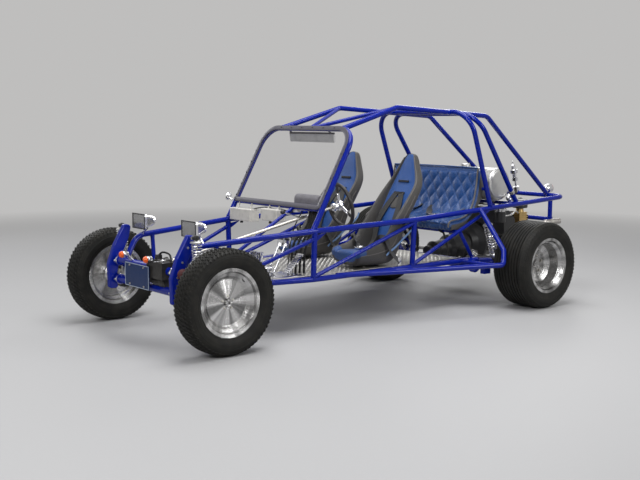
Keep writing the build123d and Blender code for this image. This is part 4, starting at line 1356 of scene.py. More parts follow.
@dataclass
class Bench:
    """The rear bench: one scooped pad from its top to the rolled front, quilted in diamonds."""

    half: float = 463.0
    diamond: tuple[float, float] = (104.0, 136.0)
    puff: float = 17.0
    edge: float = 24.0
    scoop: float = 12.0
    columns: int = 190
    rows: int = 120
    quilted: float = 0.80

    def profile(self, points: Sequence[tuple[float, float]], share: float) -> Vector:
        """Find a place on one of the two outlines.

        Args:
            points: the outline.
            share: how far along it the place is, from 0 to 1.

        Returns:
            Distance behind the front axle, zero, and height, in millimetres.
        """
        line = smooth_line([Vector((b, 0, z)) for b, z in points], 8)
        spot = share * (len(line) - 1)
        k = min(int(spot), len(line) - 2)
        return line[k].lerp(line[k + 1], spot - k)

    def quilt(self, u: float, v: float) -> float:
        """Return how far the quilting stands out at one place, in millimetres.

        Args:
            u: distance from the middle plane.
            v: length along the face, from its top.

        Returns:
            The height over the seams.
        """
        a = (u / self.diamond[0] + v / self.diamond[1]) % 1.0
        b = (u / self.diamond[0] - v / self.diamond[1]) % 1.0
        return self.puff * (math.sin(math.pi * a) * math.sin(math.pi * b)) ** 0.34

    def surface(self) -> list[tuple[Vector, Vector, float]]:
        """Follow the face from its top to its end under the front edge.

        Returns:
            Place, outward direction and length so far at every row.
        """
        share = [k / self.rows for k in range(self.rows + 1)]
        line = [self.profile(BENCH_FRONT, s) for s in share]
        length, out = 0.0, []
        for k, place in enumerate(line):
            ahead = ahead_at(line, k)
            out.append((place, Vector((ahead.z, 0, -ahead.x)), length))
            if k < self.rows:
                length += (line[k + 1] - place).length
        return out

    def height(self, u: float, v: float, share: float) -> float:
        """Work out how far the scooped and quilted face stands out from its outline.

        Args:
            u: distance from the middle plane.
            v: length along the face, from its top.
            share: that length as a share of the whole.

        Returns:
            The distance in millimetres.
        """
        rim = self.half - abs(u)
        edge = self.edge
        fall = 0.0 if rim > edge else edge - math.sqrt(max(0.0, edge ** 2 - (edge - rim) ** 2))
        inside = min(1.0, max(0.0, (rim - 16) / 12), max(0.0, (v - 34) / 14),
                     max(0.0, (self.quilted - share) / 0.03))
        crown = 6 * (1 - (u / self.half) ** 4) * math.sin(math.pi * min(1.0, share * 1.1))
        rolled = max(0.0, min(1.0, (share - 0.82) / 0.05))
        roll = 2.5 * math.sin(u * 0.11 + math.sin(u * 0.031) * 3) * rolled
        scoop = self.scoop * math.sin(math.pi * share) ** 0.3
        return crown - fall + self.quilt(u, v) * inside + roll - scoop

    def pad(self) -> None:
        """Make the closed pad, blue in front and taupe at its sides and back."""
        face_rows = self.surface()
        wide = [self.half * (2 * i / self.columns - 1) for i in range(self.columns + 1)]
        mesh = bmesh.new()
        front, rear = [], []
        for k, (place, out, v) in enumerate(face_rows):
            share = k / self.rows
            front.append([])
            for u in wide:
                spot = place + out * self.height(u, v, share)
                front[-1].append(mesh.verts.new(at(spot.x, u, spot.z)))
            spot = self.profile(BENCH_REAR, share)
            rear.append([mesh.verts.new(at(spot.x, u, spot.z)) for u in (wide[0], wide[-1])])
        for low, high in zip(front, front[1:]):
            for i in range(self.columns):
                mesh.faces.new((low[i], low[i + 1], high[i + 1], high[i]))
        for k in range(self.rows):
            mesh.faces.new((rear[k][0], rear[k][1], rear[k + 1][1], rear[k + 1][0])).material_index = 1
            for end, i in ((0, 0), (1, self.columns)):
                mesh.faces.new((front[k][i], front[k + 1][i], rear[k + 1][end],
                                rear[k][end])).material_index = 1
        mesh.faces.new([*front[0], rear[0][1], rear[0][0]])
        mesh.faces.new([*front[-1], rear[-1][1], rear[-1][0]]).material_index = 1
        data = settle(mesh, bpy.data.meshes.new("bench_pad"))
        data.shade_smooth()
        data.set_sharp_from_angle(angle=math.radians(50))
        data.materials.append(BENCH_BLUE.material())
        data.materials.append(SEAT_TAUPE.material())
        made = dress("bench_pad", data, BENCH_BLUE, replaces=["rear_seat"])

    def stitches(self) -> None:
        """Set a row of pale stitches along every seam of the quilting."""
        w, h = self.diamond
        face_rows = self.surface()
        rows = []
        for slope in (1, -1):
            for n in range(-14, 15):
                for k in range(2, int(self.rows * self.quilted) - 1):
                    place, out, v = face_rows[k]
                    after = face_rows[k + 1]
                    u = w * n + slope * w * v / h
                    if abs(u) > self.half - 20 or v < 40:
                        continue
                    share = k / self.rows
                    stand = self.height(u, v, share) + 1.0
                    spot, then = place + out * stand, after[0] + after[1] * stand
                    start = at(spot.x, u, spot.z)
                    run = at(then.x, u + slope * w / h * (after[2] - v), then.z) - start
                    turn = run.to_track_quat("X", "Z").to_matrix()
                    rows.append((start, turn, (run.length * 0.46, 0.0019, 0.0019)))
        STUDS.grow("bench_stitches", seed_points("stitch_seed", rows), THREAD, {"Sides": 4, "Taper": 0.7},
                   slot="seat_vinyl")

    def edges(self) -> None:
        """Add the piping round the pad, the lap belts and the struts under it."""
        line = [(b, z) for b, z in BENCH_FRONT[:12]]
        pale, blue, base = Shape(), Shape(), Shape()
        for side in (-1, 1):
            pale.pipe([(b + 6, side * (self.half - 6), z - 3) for b, z in line], 6.5, 8, 4)
        blue.pipe([(2500, y, 1042 + 5 * (1 - (y / self.half) ** 2)) for y in np.linspace(-458, 458, 21)],
                  5.5, 8, 2)
        belts, buckles = Shape(), Shape()
        lap = ((2440, 168, 752), (2392, 160, 716), (2330, 120, 694), (2268, 60, 682), (2250, 16, 682))
        for y in (-232, 232):
            for side in (-1, 1):
                ribbon(belts, mirrored(lap, side, y), 46, Vector((-0.45, 0, 1)))
            buckles.brick((2252, y, 685), (44, 66, 12), round_off=4)
        belts.piece("bench_belts", WEB_BLACK, slot="seat_vinyl")
        buckles.piece("bench_buckles", CHROME, slot="chrome")
        pale.piece("bench_side_piping", PIPING, slot="seat_vinyl")
        blue.piece("bench_top_piping", BENCH_BLUE, slot="seat_vinyl")
        for y in (-330, 0, 330):
            base.pipe([(2206, y, 578), (2236, y, 560), (2262, y, 552)], 7, 8, 4)
            base.pipe([(2262, y, 556), (2300, y, 480), (2330, y, 372)], 8, 8, 4)
        base.piece("bench_struts", BLACK_PAINT, slot="dark_steel")

    def build(self) -> None:
        """Make the whole bench."""
        self.pad()
        self.stitches()
        self.edges()


# Running gear
@dataclass
class Suspension:
    """Coil springs wound by Geometry Nodes over their dampers."""

    # top eye, bottom eye, shares of the length at which the spring starts and ends, turns, wire radius
    rows: tuple = (((-50, 464, 684), (-22, 484, 278), 0.07, 0.60, 13.0, 3.6),
                   ((2505, 556, 640), (2600, 566, 345), 0.10, 0.86, 11.0, 4.5))
    radius: float = 36.0

    def build(self) -> None:
        """Make all four units."""
        spring = spring_tree()
        dampers, eyes = Shape(), Shape()
        for side, word in SIDES:
            for end, (top, bottom, first, last, turns, wire) in zip(("front", "rear"), self.rows):
                a, b = mirrored((top, bottom), side)
                length = (at(*b) - at(*a)).length * 1000
                s, e = length * first, length * last
                dampers.lathe(a, b, [
                    (8, 0), (8, 13), (s - 10, 13), (s - 8, 34), (s - 3, 38), (s, 38), (s, 26), (s + 2, 7),
                    (e - 46, 7), (e - 46, 20), (e - 6, 20), (e - 6, 30), (e, 38), (e + 4, 38), (e + 6, 30),
                    (e + 9, 30), (e + 9, 33), (e + 16, 33), (e + 16, 21), (length - 20, 20),
                    (length - 6, 14), (length - 6, 0)], 40)
                for spot in (a, b):
                    eyes.lathe((spot[0], spot[1] - 18, spot[2]), (spot[0], spot[1] + 18, spot[2]),
                               [(0, 9), (0, 15), (3, 17), (33, 17), (36, 15), (36, 9)], 24)
                    eyes.lathe((spot[0], spot[1] - 23, spot[2]), (spot[0], spot[1] + 23, spot[2]),
                               [(0, 0), (0, 8), (46, 8), (46, 0)], 6)
                up = (at(*a) - at(*b)).normalized()
                place = at(*a) - up * ((e - 1) / 1000)
                spring.grow(f"{word}_{end}_spring", bpy.data.meshes.new("spring_seed"), CHROME, {
                    "Turns": turns, "Radius": (self.radius - wire) / 1000, "Length": (e - s - 4) / 1000,
                    "Wire": wire / 1000, "Place": place, "Turn": Vector(facing(up).to_euler())},
                    slot="chrome")
        dampers.piece("dampers", ALLOY, slot="chrome", replaces=["coilovers"])
        eyes.piece("damper_eyes", BLACK, slot="black_grip")


@dataclass
class Lamps:
    """Lenses, bezels, mirror glass and the border of the blank plate.

    The two pairs of sizes are the distance from the middle and the height of the marker lamps.
    """

    front: tuple[float, float] = (155, 531)
    rear: tuple[float, float] = (287, 836)

    def build(self) -> None:
        """Make them all."""
        bezel, glass, amber, red, cups = (Shape() for _ in range(5))
        for side in (-1, 1):
            y = side * HEADLAMP_Y
            for dy, dz, w, h in ((0, 48, 166, 7), (0, -48, 166, 7), (79.5, 0, 7, 102), (-79.5, 0, 7, 102)):
                bezel.brick((-5, y + dy, HEADLAMP_Z + dz), (6, w, h), round_off=2)
            glass.brick((-6, y, HEADLAMP_Z), (3.4, 150, 88), round_off=1.5)
            front = mirrored([(-172, *self.front), (-238, *self.front)], side)
            cups.lathe(*front, [(0, 0), (0, 12), (12, 21), (38, 23), (44, 23), (44, 20), (42, 18),
                                (42, 0)], 40)
            cups.rod(*mirrored([(-188, *self.front), (-134, self.front[0], 478)], side), 8)
            amber.lathe(*front, [(43, 0), (43, 19.5), (46, 22), (52, 20.6), (58, 17.6), (63, 12), (65.4, 6),
                                 (66, 0)], 40)
            rear = mirrored([(3545, *self.rear), (3636, *self.rear)], side)
            cups.lathe(*rear, [(0, 0), (0, 15), (16, 28), (40, 37), (74, 38), (76, 37), (76, 33), (72, 30),
                               (72, 0)], 40)
            cups.rod(*mirrored([(3598, self.rear[0], 805), (3598, self.rear[0], 786)], side), 12)
            red.lathe(*rear, [(73, 0), (73, 32.5), (78, 36.6), (84, 33), (89, 22), (90.6, 11), (91, 0)], 40)
        bezel.piece("headlamp_bezels", BLACK, slot="chrome")
        cups.piece("marker_lamp_cups", CHROME, slot="chrome", replaces=["marker_lamps"])
        glass.piece("headlamp_glass", LAMP_GLASS, slot="clear_sheet")
        amber.piece("front_lenses", AMBER, slot="chrome")
        red.piece("rear_lenses", RED, slot="chrome")
        rim = Shape()
        for dy, dz, w, h in ((0, 73, 297, 3.4), (0, -73, 297, 3.4), (147, 0, 3.4, 149), (-147, 0, 3.4, 149)):
            rim.brick((PLATE_BACK - 1, dy, PLATE_Z + dz), (1.6, w, h))
        rim.piece("plate_border", PLATE_RIM, slot="plate_paint")
        glass = Shape().brick((1262.6, -30, 1277), (1.6, 484, 60), Matrix.Rotation(math.radians(8), 3, "Y"))
        glass.lathe((874, -522, 834), (875, -520.6, 833.4), [(0, 23.5), (0.9, 23.5), (0.9, 0)], 32)
        glass.piece("mirror_faces", MIRROR, slot="mirror")


@dataclass
class Floor:
    """The raised diamonds of the tread plate: their pitch, height, first row, rows and, in metres, size."""

    pitch: float = 21.0
    top: float = FLOOR_TOP
    first: float = 596.0
    rows: int = 80
    size: Point = (0.0098, 0.0033, 0.0019)

    def build(self) -> None:
        """Set the diamonds over the whole plate, turned left and right in turn."""
        rows = []
        for i in range(self.rows):
            back = self.first + i * self.pitch
            # The plate widens behind its front edge, and the diamonds keep 12 mm clear of its sides
            half = min(455.0, 405 + (back - 585) * 0.2) - 12
            for j in range(int(2 * half / self.pitch)):
                y = -half + (j + 0.5) * self.pitch
                turn = Matrix.Rotation(math.radians(45 if (i + j) % 2 else -45), 3, "Z")
                rows.append((at(back, y, self.top + 0.2), turn, self.size))
        STUDS.grow("tread_plate_diamonds", seed_points("diamond_seed", rows), TREAD_PLATE,
                   {"Sides": 6, "Taper": 0.45}, slot="tread_plate")


SCREEN_SLOPE = 0.56
SCREEN_OUT = Vector((1, 0, SCREEN_SLOPE)).normalized()
SCREEN_UP = Vector((-SCREEN_SLOPE, 0, 1)).normalized()


def screen_place(u: float, v: float, out: float) -> Vector:
    """Return a place on the windshield in metres.

    Args:
        u: distance to the buggy's left of its middle.
        v: distance up the slope from its middle.
        out: distance ahead of the plane of its hoop.

    Returns:
        The point.
    """
    return at(SCREEN_BACK, u, SCREEN_Z) + SCREEN_UP * (v / 1000) + SCREEN_OUT * (out / 1000)


@dataclass
class Fasteners:
    """Hexagon heads, and the round screws of the windshield, set by Geometry Nodes."""

    def places(self) -> list[tuple[Point, Point, float]]:
        """Lay out the hexagon heads.

        Returns:
            Place, direction and radius of each head, in millimetres.
        """
        heads: list[tuple[Point, Point, float]] = []
        for side in (-1, 1):
            heads += [((PLATE_BACK, side * 88.9, PLATE_Z + dz), (-1, 0, 0), 7.0) for dz in (-60.3, 60.3)]
            heads += [((b, side * 421, z), (0, side, 0), 8.0)
                      for b, z in ((-79, 622), (-120, 535), (-154, 445), (-163, 330))]
            heads += [((-163, side * y, z), (-1, 0, 0), 7.0) for y in (340, 360) for z in BEAM_ZS]
            heads += [((TORSION_BACK + 42 * math.cos(a), side * 590, TORSION_Z + 42 * math.sin(a)),
                       (0, side, 0), 7.0) for a in (0.4, 1.97, 3.54, 5.11)]
            heads += [((b, side * 396, z), (0, side, 0), 6.0) for b in (3090, 3290) for z in (410, 346)]
            heads += [((b, side * y, FLOOR_TOP + 3), (0, 0, 1), 5.0)
                      for b in range(640, 2290, 150) for y in (392, 160)]
            heads += [((b, side * (SEAT_Y + dy), FLOOR_TOP + 5), (0, 0, 1), 8.0)
                      for b in (1330, 1560) for dy in (-176, 176)]
            heads += [((3000, side * y, 699), (0, 0, 1), 6.0) for y in (60, 140)]
            heads += [((-52, side * 421, 680), (0, side, 0), 10.0)]
            heads += [((-174, 190 + side * 74, 466 + dz), (-1, 0, 0), 6.0) for dz in (-36, 36)]
            heads += [((b, y, 518), (0, 0, 1), 6.0) for b in (-166, -106) for y in (118, 250)]
            heads += [((b, SEAT_Y + side * 84, FLOOR_TOP + 13), (0, 0, 1), 6.5) for b in (530, 660, 790)]
        return heads

    def build(self) -> None:
        """Set every head."""
        rows = [(at(*place), facing(Vector((-way[0], way[1], way[2]))), (radius / 1000, radius / 1000, 0.005))
                for place, way, radius in self.places()]
        STUDS.grow("bolt_heads", seed_points("bolt_seed", rows), STEEL, {"Sides": 6, "Taper": 0.9},
                   slot="zinc_steel")
        spots = [(side * 484, v) for side in (-1, 1) for v in range(-270, 190, 92)]
        spots += [(u, 296) for u in range(-300, 301, 120)]
        screws = [(screen_place(u, v, 27), facing(SCREEN_OUT), (0.0052, 0.0052, 0.004)) for u, v in spots]
        STUDS.grow("screen_screws", seed_points("screw_seed", screws), BLACK, {"Sides": 12, "Taper": 0.6},
                   slot="black_grip")


@dataclass
class Welds:
    """Beads of weld round the tube ends, set by Geometry Nodes; the size of one bead is in metres."""

    # tube end, the tube's other end, its radius, how far from the first end the bead lies and, where the
    # other end has a bead too, how far from that end
    joints: tuple = (
        ((846, 506, 668), (848, 492, 345), 19, 21, 20), ((1772, 508, 690), (1770, 492, 345), 19, 21, 20),
        ((842, 506, 618), (146, 388, 352), 14, 22, 26), ((850, 494, 362), (1776, 508, 672), 14, 24, 24),
        ((1770, 494, 362), (2570, 508, 718), 14, 24, 24), ((2262, 503, 568), (2425, 492, 350), 14, 24, 24),
        ((146, 398, 622), (146, 366, 345), 14, 20, 20), ((2596, 510, 742), (2337, 510, 1468), 19, 22),
        ((2951, 479, 745), (2450, 479, 1456), 19, 36), ((1213, 345, 1337), (1766, 316, 1494), 19, 22),
        ((3590, 287, 782), (2755, 311, 1440), 19, 25), ((1211, 0, 1339), (1755, 312, 1490), 14, 28, 26),
        ((838, 500, 672), (1211, 500, 1339), 19, 24), ((3595, 315, 778), (3595, 315, 575), 19, 20, 20),
        ((2283, 490, 350), (2283, 842, 351), 12.5, 20, 20), ((913, 500, 806), (913, 0, 806), 16, 20),
        ((560, 160, 345), (2340, 160, 345), 12.5, 16), ((2478, 512, 728), (2400, 815, 450), 19, 24),
    )
    beads: int = 16
    size: Point = (0.0075, 0.0085, 0.0045)

    def build(self) -> None:
        """Set every ring of beads on both sides."""
        rings = [(mirrored(ends, side), radius, gap) for side in (-1, 1)
                 for end, other, radius, *gaps in self.joints
                 for ends, gap in zip(((end, other), (other, end)), gaps)]
        rows = []
        for ends, radius, gap in rings:
            start, far = (at(*p) for p in ends)
            way = (far - start).normalized()
            across = way.orthogonal().normalized()
            over = way.cross(across)
            middle = start + way * (gap / 1000)
            for k in range(self.beads):
                a = 2 * math.pi * k / self.beads
                out = across * math.cos(a) + over * math.sin(a)
                turn = Matrix((way, out.cross(way), out)).transposed()
                rows.append((middle + out * (radius / 1000), turn, self.size))
        BEADS.grow("weld_beads", seed_points("weld_seed", rows), FRAME_BLUE, {}, slot="frame_paint")


@dataclass
class Trim:
    """Clamps, boots, straps, gauges, switches and pedal pads."""

    gauge_ys: tuple[float, ...] = (222, 303, 384)

    def front(self) -> None:
        """Add the beam's clamps and boots, the bracket and cap over it, and the lamps' wires."""
        clamps, boots, wires = Shape(), Shape(), Shape()
        for side in (-1, 1):
            for z in BEAM_ZS:
                clamps.lathe((BEAM_BACK, side * 337, z), (BEAM_BACK, side * 363, z),
                             [(0, 30), (0, 34.4), (3, 35), (23, 35), (26, 34.4), (26, 30)], 40)
                clamps.rod((BEAM_BACK, side * 350, z + 30), (BEAM_BACK, side * 350, z + 44), 6, 6)
                boots.lathe((BEAM_BACK, side * 430, z), (BEAM_BACK, side * 470, z),
                            [(0, 0), (0, 31), (4, 34), (8, 31.2), (12, 34), (16, 31.2), (20, 33.6), (24, 31),
                             (28, 32.6), (32, 30.5), (37, 20), (37, 0)], 32)
            wires.pipe(mirrored([(-174, 155, 531), (-160, 166, 524), (-146, 172, 504), (-136, 176, 490)],
                                side), 3.4, 8, 6)
            wires.pipe(mirrored([(60, HEADLAMP_Y, 700), (72, 330, 668), (60, 362, 640)], side), 4, 8, 6)
        wires.pipe([(BEAM_BACK, 158, 552), (-118, 190, 574), (-96, 236, 560), (-104, 262, 510),
                    (-118, 250, 500)], 6, 10, 8)
        clamps.brick((-138, 184, 519.5), (78, 18, 4), round_off=1)
        clamps.brick((-176, 184, 494), (4, 18, 52), round_off=1)
        clamps.lathe((BEAM_BACK, 206, 518), (BEAM_BACK, 206, 532),
                     [(0, 0), (0, 17), (8, 17), (10, 15), (10, 7), (14, 6), (14, 0)], 24)
        clamps.piece("beam_clamps", CHROME, slot="chrome")
        boots.piece("arm_boots", BOOT, slot="black_grip", angle=60)
        wires.piece("lamp_wires", HOSE, slot="black_grip")

    def cockpit(self) -> None:
        """Add gauges, switches, the lever under the pod and pedal pads."""
        bezel, face, marks = Shape(), Shape(), Shape()
        for y in self.gauge_ys:
            bezel.lathe((1010, y, POD_Z), (1020, y, POD_Z),
                        [(0, 0), (0, 35), (5, 35), (7, 33), (7, 30), (4, 29.5), (4, 0)], 40)
            face.lathe((1013, y, POD_Z), (1016, y, POD_Z), [(0, 0), (0, 29), (2.4, 29), (2.4, 0)], 40)
            for k in range(11):
                a = math.radians(225 - 27 * k)
                marks.brick((1015.8, y - 24 * math.cos(a), POD_Z + 24 * math.sin(a)), (0.8, 6, 1.4),
                            Matrix.Rotation(a, 3, "X"))
            marks.brick((1016, y + 6, POD_Z + 6), (0.8, 24, 1.8), Matrix.Rotation(math.radians(-45), 3, "X"))
        bezel.piece("gauge_bezels", CHROME, slot="chrome")
        face.piece("gauge_faces", BLACK, slot="black_grip")
        marks.piece("gauge_marks", CREAM, slot="cream_plastic")
        levers, knobs = Shape(), Shape()
        # Middle, height and width of the two boxes of the dash
        for y, z, width in ((-354, 716, 256), (-5, 738, 187)):
            for k in range(4):
                across, up = y + (k - 1.5) * width / 5, z + 8
                levers.lathe((926, across, up), (940, across, up),
                             [(0, 0), (0, 9), (3, 9), (3, 6), (6, 6), (6, 0)], 6)
                levers.lathe((931, across, up), (948, across, up + 9),
                             [(0, 0), (0, 2), (18, 3.4), (19, 0)], 10)
            knobs.lathe((862, y, z - 40), (862, y, z - 62),
                        [(0, 0), (0, 9), (8, 9), (11, 12), (20, 11), (22, 0)], 20)
        levers.pipe([(950, 303, 792), (964, 300, 757), (900, 300, 748), (859, 300, 750), (742, 300, 785)],
                    5, 10, 8)
        knobs.lathe((752, 300, 782), (720, 300, 792),
                    [(0, 0), (2, 10), (12, 15), (22, 14), (30, 7), (32, 0)], 24)
        for y in (260, 326):
            tilt = Matrix.Rotation(math.radians(22), 3, "Y")
            knobs.brick((761, y, 586), (5, 46, 60), tilt, 2)
            for k in range(5):
                knobs.brick((763.5 + (k - 2) * 4.1, y, 586 + (k - 2) * 10.2), (5, 40, 4), tilt, 1)
        levers.piece("switches_and_lever", CHROME, slot="chrome")
        knobs.piece("knobs_and_pedal_pads", BLACK, slot="black_grip")

    def rear(self) -> None:
        """Add tank straps and seams, exhaust bands and the collar on a rear tube."""
        straps, seams, bands = Shape(), Shape(), Shape()
        for y in (-250, 250):
            straps.lathe((TANK_BACK, y - 16, TANK_Z), (TANK_BACK, y + 16, TANK_Z),
                         [(0, 126), (0, 129.6), (32, 129.6), (32, 126)], 72)
            straps.brick((TANK_BACK, y, TANK_Z - 130), (26, 38, 8), round_off=2)
        for y in (-352, 352):
            seams.lathe((TANK_BACK, y - 4, TANK_Z), (TANK_BACK, y + 4, TANK_Z),
                        [(0, 126), (0.5, 128.6), (4, 129.6), (7.5, 128.6), (8, 126)], 72)
        back, z = SILENCER
        for y in (-210, 30, 250):
            bands.lathe((back, y, z), (back, y + 24, z), [(0, 56), (0, 59.6), (24, 59.6), (24, 56)], 48)
            bands.rod((back, y + 12, z + 56), (back, y + 12, z + 76), 6, 6)
        bands.lathe((3555, 353, 555), (3580, 358.5, 556.3), [(0, 22), (0, 26), (24, 26), (24, 22)], 32)
        bands.lathe((2890, 479, 832), (2872, 479, 857),
                    [(0, 17), (0, 21.5), (4, 23), (26, 23), (30, 21.5), (30, 17)], 32)
        straps.piece("tank_straps", STEEL, slot="zinc_steel")
        seams.piece("tank_seams", ALLOY, slot="polished_aluminium")
        bands.piece("exhaust_bands", STEEL, slot="zinc_steel")

    def build(self) -> None:
        """Add it all."""
        self.front()
        self.cockpit()
        self.rear()


# Section of the band: share of its half width and distance ahead of the hoop's plane
BAND_SECTION = ((-1, 23.2), (1, 23.2), (1, 25.0), (0.86, 26.4), (-0.86, 26.4), (-1, 25.0))


@dataclass
class Windshield:
    """The moulded band round the clear sheet."""

    half: float = 483.0
    foot: float = -303.0
    head: float = 295.0
    corner: float = 133.0
    width: float = 34.0

    def outline(self) -> list[tuple[float, float]]:
        """Lay out the band's middle line.

        Returns:
            Places in the sheet's plane, from the lower left corner up, across and down.
        """
        line = []
        for x, y, r, start in ((self.half, self.foot, 20.0, -90), (self.half, self.head, self.corner, 0),
                               (-self.half, self.head, self.corner, 90), (-self.half, self.foot, 20.0, 180)):
            middle = (x - math.copysign(r, x), y - math.copysign(r, y))
            for k in range(13):
                a = math.radians(start + 90 * k / 12)
                line.append((middle[0] + r * math.cos(a), middle[1] + r * math.sin(a)))
        return line

    def build(self) -> None:
        """Make the band."""
        line = self.outline()
        w = self.width / 2
        rings = []
        for k, (x, y) in enumerate(line):
            before, after = line[k - 1], line[(k + 1) % len(line)]
            run = Vector((after[0] - before[0], after[1] - before[1])).normalized()
            rings.append([screen_place(x + run.y * e * w, y - run.x * e * w, h) for e, h in BAND_SECTION])
        Shape().skin(rings, closed=True).piece("windshield_band", BAND, slot="clear_sheet")


@dataclass
class Plumbing:
    """Hoses, leads, looms and lines between the fittings; only some of them show in the photograph.

    A loom has so many sections between two places of its line, and every fourth one is narrow.
    """

    sections: int = 22
    narrow: float = 0.16

    def looms(self) -> None:
        """Make the ribbed looms from the gauge pod to the floor, and the wires of the dash."""
        shape = Shape()
        for y, foot in ((300, 828), (320, 848), (340, 868), (360, 888)):
            line = [(960, y + 22, 806), (950, y + 24, 760), (925, y + 22, 680), (foot + 14, y + 4, 590),
                    (foot - 8, y - 4, 500), (foot, y - 18, 420), (foot, y - 20, FLOOR_TOP + 4)]
            count = (len(line) - 1) * self.sections
            shape.pipe(line, 9, 12, self.sections,
                       lambda t: 1.0 - self.narrow * (math.sin(t * count * math.pi * 0.5) > 0))
        wires = Shape().pipe([(962, 240, 800), (930, 205, 779), (914, 120, 772), (912, 50, 780),
                              (900, 0, 762)], 4.5, 8, 6)
        wires.pipe([(962, 226, 800), (926, 190, 770), (910, 90, 760), (914, -90, 782), (914, -230, 768),
                    (900, -300, 745)], 4, 8, 6)
        wires.pipe([(966, 384, 800), (940, 410, 740), (900, 440, 640), (872, 462, 520), (862, 466, 372)],
                   5, 8, 6)
        wires.pipe([(962, 250, 800), (930, 236, 740), (900, 214, 660), (884, 196, 560), (880, 188, 470),
                    (866, 184, 374)], 4, 8, 6)
        wires.piece("dash_wires", HOSE, slot="black_grip")
        shape.piece("looms_ribbed", HOSE, slot="black_grip", replaces=["looms"], angle=60)

    def lines(self) -> None:
        """Make the brake lines, the hoses and leads of the engine, and the cap that the leads start at."""
        steel = Shape()
        steel.pipe([(478, 260, 424), (420, 262, 420), (330, 300, 395), (200, 360, 370), (40, 400, 372),
                    (0, 470, 350)], 3.2, 8, 8)
        steel.pipe([(478, 326, 424), (430, 380, 412), (600, 452, 372), (1200, 470, 366), (2200, 470, 366),
                    (2330, 440, 372)], 3.2, 8, 8)
        steel.piece("brake_lines", STEEL, slot="zinc_steel")
        rubber = Shape()
        fuel = [(TANK_BACK, 120, 776), (2890, 122, 740), (2960, 150, 722), (3080, 180, 724), (3200, 200, 640),
                (3262, 214, 600)]
        for side in (-1, 1):
            rubber.pipe(mirrored(fuel, side), 6, 10, 8)
        for side in (-1, 1):
            for back in (3134, 3246):
                lead = [(3255, 8, 598), (3250, 40, 632), (back + 30, 120, 610), (back + 8, 220, 560),
                        (back, 296, 500), (back, 300, 466)]
                rubber.pipe(mirrored(lead, side), 4, 8, 8)
        rubber.pipe([(3434, 150, 480), (3440, 190, 560), (3434, 200, 606), (3400, 150, 632), (3360, 60, 628),
                     (3336, 20, 608)], 7, 10, 8)
        rubber.piece("hoses_and_leads", HOSE, slot="black_grip")
        white = Shape().pipe([(2930, 362, 640), (3010, 378, 650), (3120, 330, 668), (3240, 262, 640),
                              (3285, 244, 615)], 5.5, 10, 8)
        white.pipe([(3333, 240, 600), (3381, 200, 597), (3392, 130, 560), (3372, 60, 522)], 5.5, 10, 8)
        white.piece("pale_hoses", WHITE_HOSE, slot="cream_plastic")
        cap = Shape().lathe((3255, 0, 590), (3255, 0, 626), [(0, 0), (0, 30), (14, 32), (24, 26), (36, 22),
                                                            (36, 0)], 32)
        cap.piece("distributor_cap", BLACK, slot="black_grip")

    def build(self) -> None:
        """Make them all."""
        self.looms()
        self.lines()


# Solids that keep their shape
NODE_FINISHES: dict[str, Finish] = {name: finish for finish, names in (
    (FRAME_BLUE, "floor_frame left_side_frame right_side_frame side_bars windshield_hoop main_hoop rear_cage "
                 "rear_hoop roof_frame front_beam rear_arms"),
    (STEEL, "left_spindle right_spindle pitman_arm steering_shaft"),
    (CHROME, "coilovers left_tie_rod right_tie_rod headlamps marker_lamps pedals"),
    (BLACK_PAINT, "front_arms steering_box"), (SEAT_TAUPE, "left_seat right_seat"),
    (BENCH_BLUE, "rear_seat"), (SCREEN, "windshield"), (MIRRORS, "mirrors"), (TREAD_PLATE, "floor_pan"),
    (WHEEL_AND_HUB, "steering_wheel"), (PLATE_BLUE, "blank_plate"), (ALLOY, "fuel_tank"),
    (FITTINGS, "rear_fittings"), (ENGINE, "engine"), (SHROUD, "fan_shroud"), (CARBURETTORS, "induction"),
    (EXHAUST, "exhaust"), (DASH, "dash"), (HOSE, "looms"), (FRONT_DISC, "left_front_wheel right_front_wheel"),
    (REAR_DISC, "left_rear_wheel right_rear_wheel"),
    (TYRE, "left_front_tyre right_front_tyre left_rear_tyre right_rear_tyre")) for name in names.split()}


def dress_solids() -> None:
    """Give every carried-over solid its finish."""
    for name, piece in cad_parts.items():
        material = NODE_FINISHES[name].material()
        if not piece.material_slots:
            piece.data.materials.append(material)
        for slot in piece.material_slots:
            slot.material = material
        LOG.info("%s: %s", name, material.name)


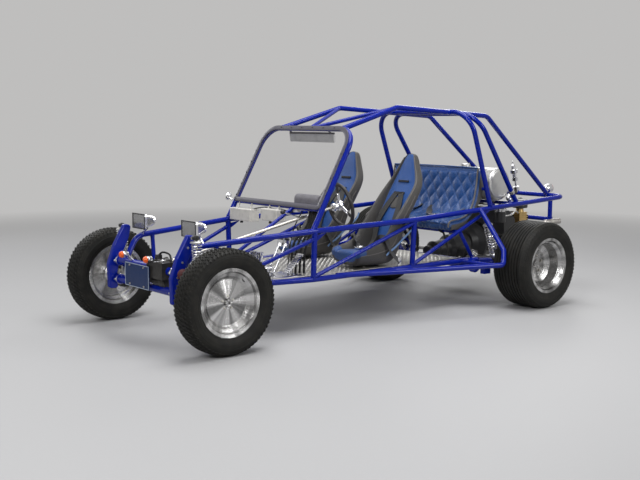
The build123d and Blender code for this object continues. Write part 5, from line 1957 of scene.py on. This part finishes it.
# Studio
@dataclass
class Studio:
    """Floor, soft light and the camera at the photograph's viewpoint.

    A panel is a place, a size and a power; the floor fades into the wall between two distances.
    """

    place: tuple[float, float, float] = (4.88413, 5.46547, 1.38247)
    yaw: float = -2.2622
    pitch: float = -0.1197
    roll: float = 0.0055
    lens: float = 54.96
    panels: list[tuple[tuple[float, float, float], float, float]] = field(default_factory=lambda: [
        ((0.5, 0.5, 5.2), 4.0, 275.0), ((5.5, 3.5, 3.6), 2.2, 175.0), ((-2.0, 6.0, 3.2), 2.2, 130.0),
        ((-5.0, -3.0, 3.5), 2.4, 80.0), ((1.0, -6.0, 3.0), 2.4, 60.0)])
    wall: Colour = (0.52, 0.515, 0.51)
    fill: Colour = (0.14, 0.14, 0.145)
    fade: tuple[float, float] = (4.5, 9.0)

    def camera(self) -> None:
        """Place the camera."""
        data = bpy.data.cameras.new("camera")
        data.lens, data.sensor_width = self.lens, 36.0
        ahead = Vector((math.cos(self.pitch) * math.cos(self.yaw), math.cos(self.pitch) * math.sin(self.yaw),
                        math.sin(self.pitch)))
        right = ahead.cross(Vector((0, 0, 1))).normalized()
        up = right.cross(ahead)
        r2 = right * math.cos(self.roll) + up * math.sin(self.roll)
        u2 = up * math.cos(self.roll) - right * math.sin(self.roll)
        camera = linked("camera", data)
        camera.matrix_world = Matrix.Translation(self.place) @ Matrix((r2, u2, -ahead)).transposed().to_4x4()
        bpy.context.scene.camera = camera

    def light(self) -> None:
        """Hang the soft panels and set the world."""
        for number, (place, size, power) in enumerate(self.panels):
            data = bpy.data.lights.new(f"panel_{number}", "AREA")
            data.shape, data.size, data.energy = "SQUARE", size, power
            lamp = linked(data.name, data)
            lamp.location = place
            lamp.rotation_euler = facing(Vector(place) - Vector((0, 0, 0.6))).to_euler()
        world = bpy.data.worlds.new("studio")
        world.use_nodes = True
        sheet = Nodes(world.node_tree)
        sheet.join(sheet.tree.nodes["Background"].inputs["Color"],
                   sheet.blend(sheet.open_rays(), self.fill, self.wall))
        bpy.context.scene.world = world

    def floor(self) -> None:
        """Lay the plain floor."""
        shape = bmesh.new()
        bmesh.ops.create_grid(shape, x_segments=1, y_segments=1, size=30.0)
        data = bpy.data.meshes.new("studio_floor")
        shape.to_mesh(data)
        shape.free()
        sheet = Sheet("floor_meets_wall")
        x, y, _ = sheet.axes()
        FLOOR_FINISH.paint(sheet)
        distance = (x * x + y * y) ** 0.5
        share = ((distance - self.fade[0]) / (self.fade[1] - self.fade[0])).clamped()
        glow = sheet.node("ShaderNodeEmission", {}, {"Color": (*self.wall, 1.0), "Strength": 1.0})
        plain = Value(sheet, sheet.shader.outputs[0])
        mixed = sheet.node("ShaderNodeMixShader", {}, {0: share * sheet.open_rays(), 1: plain, 2: glow})
        sheet.join(sheet.tree.nodes["Material Output"].inputs["Surface"], mixed)
        data.materials.append(sheet.material)
        linked("studio_floor", data)

    def build(self) -> None:
        """Make the camera, light and floor."""
        self.camera()
        self.light()
        self.floor()
        bpy.context.scene.view_settings.view_transform = "Standard"


def main() -> None:
    """Build everything in order."""
    logging.basicConfig(level=logging.INFO, format="%(message)s")
    Studio().build()
    dress_solids()
    for part in (Wheels(), BucketSeat("left_seat", SEAT_Y), BucketSeat("right_seat", -SEAT_Y), Bench(),
                 Suspension(), Lamps(), Floor(), Windshield(), Fasteners(), Welds(), Trim(), Plumbing()):
        part.build()


if __name__ == "__main__":
    main()
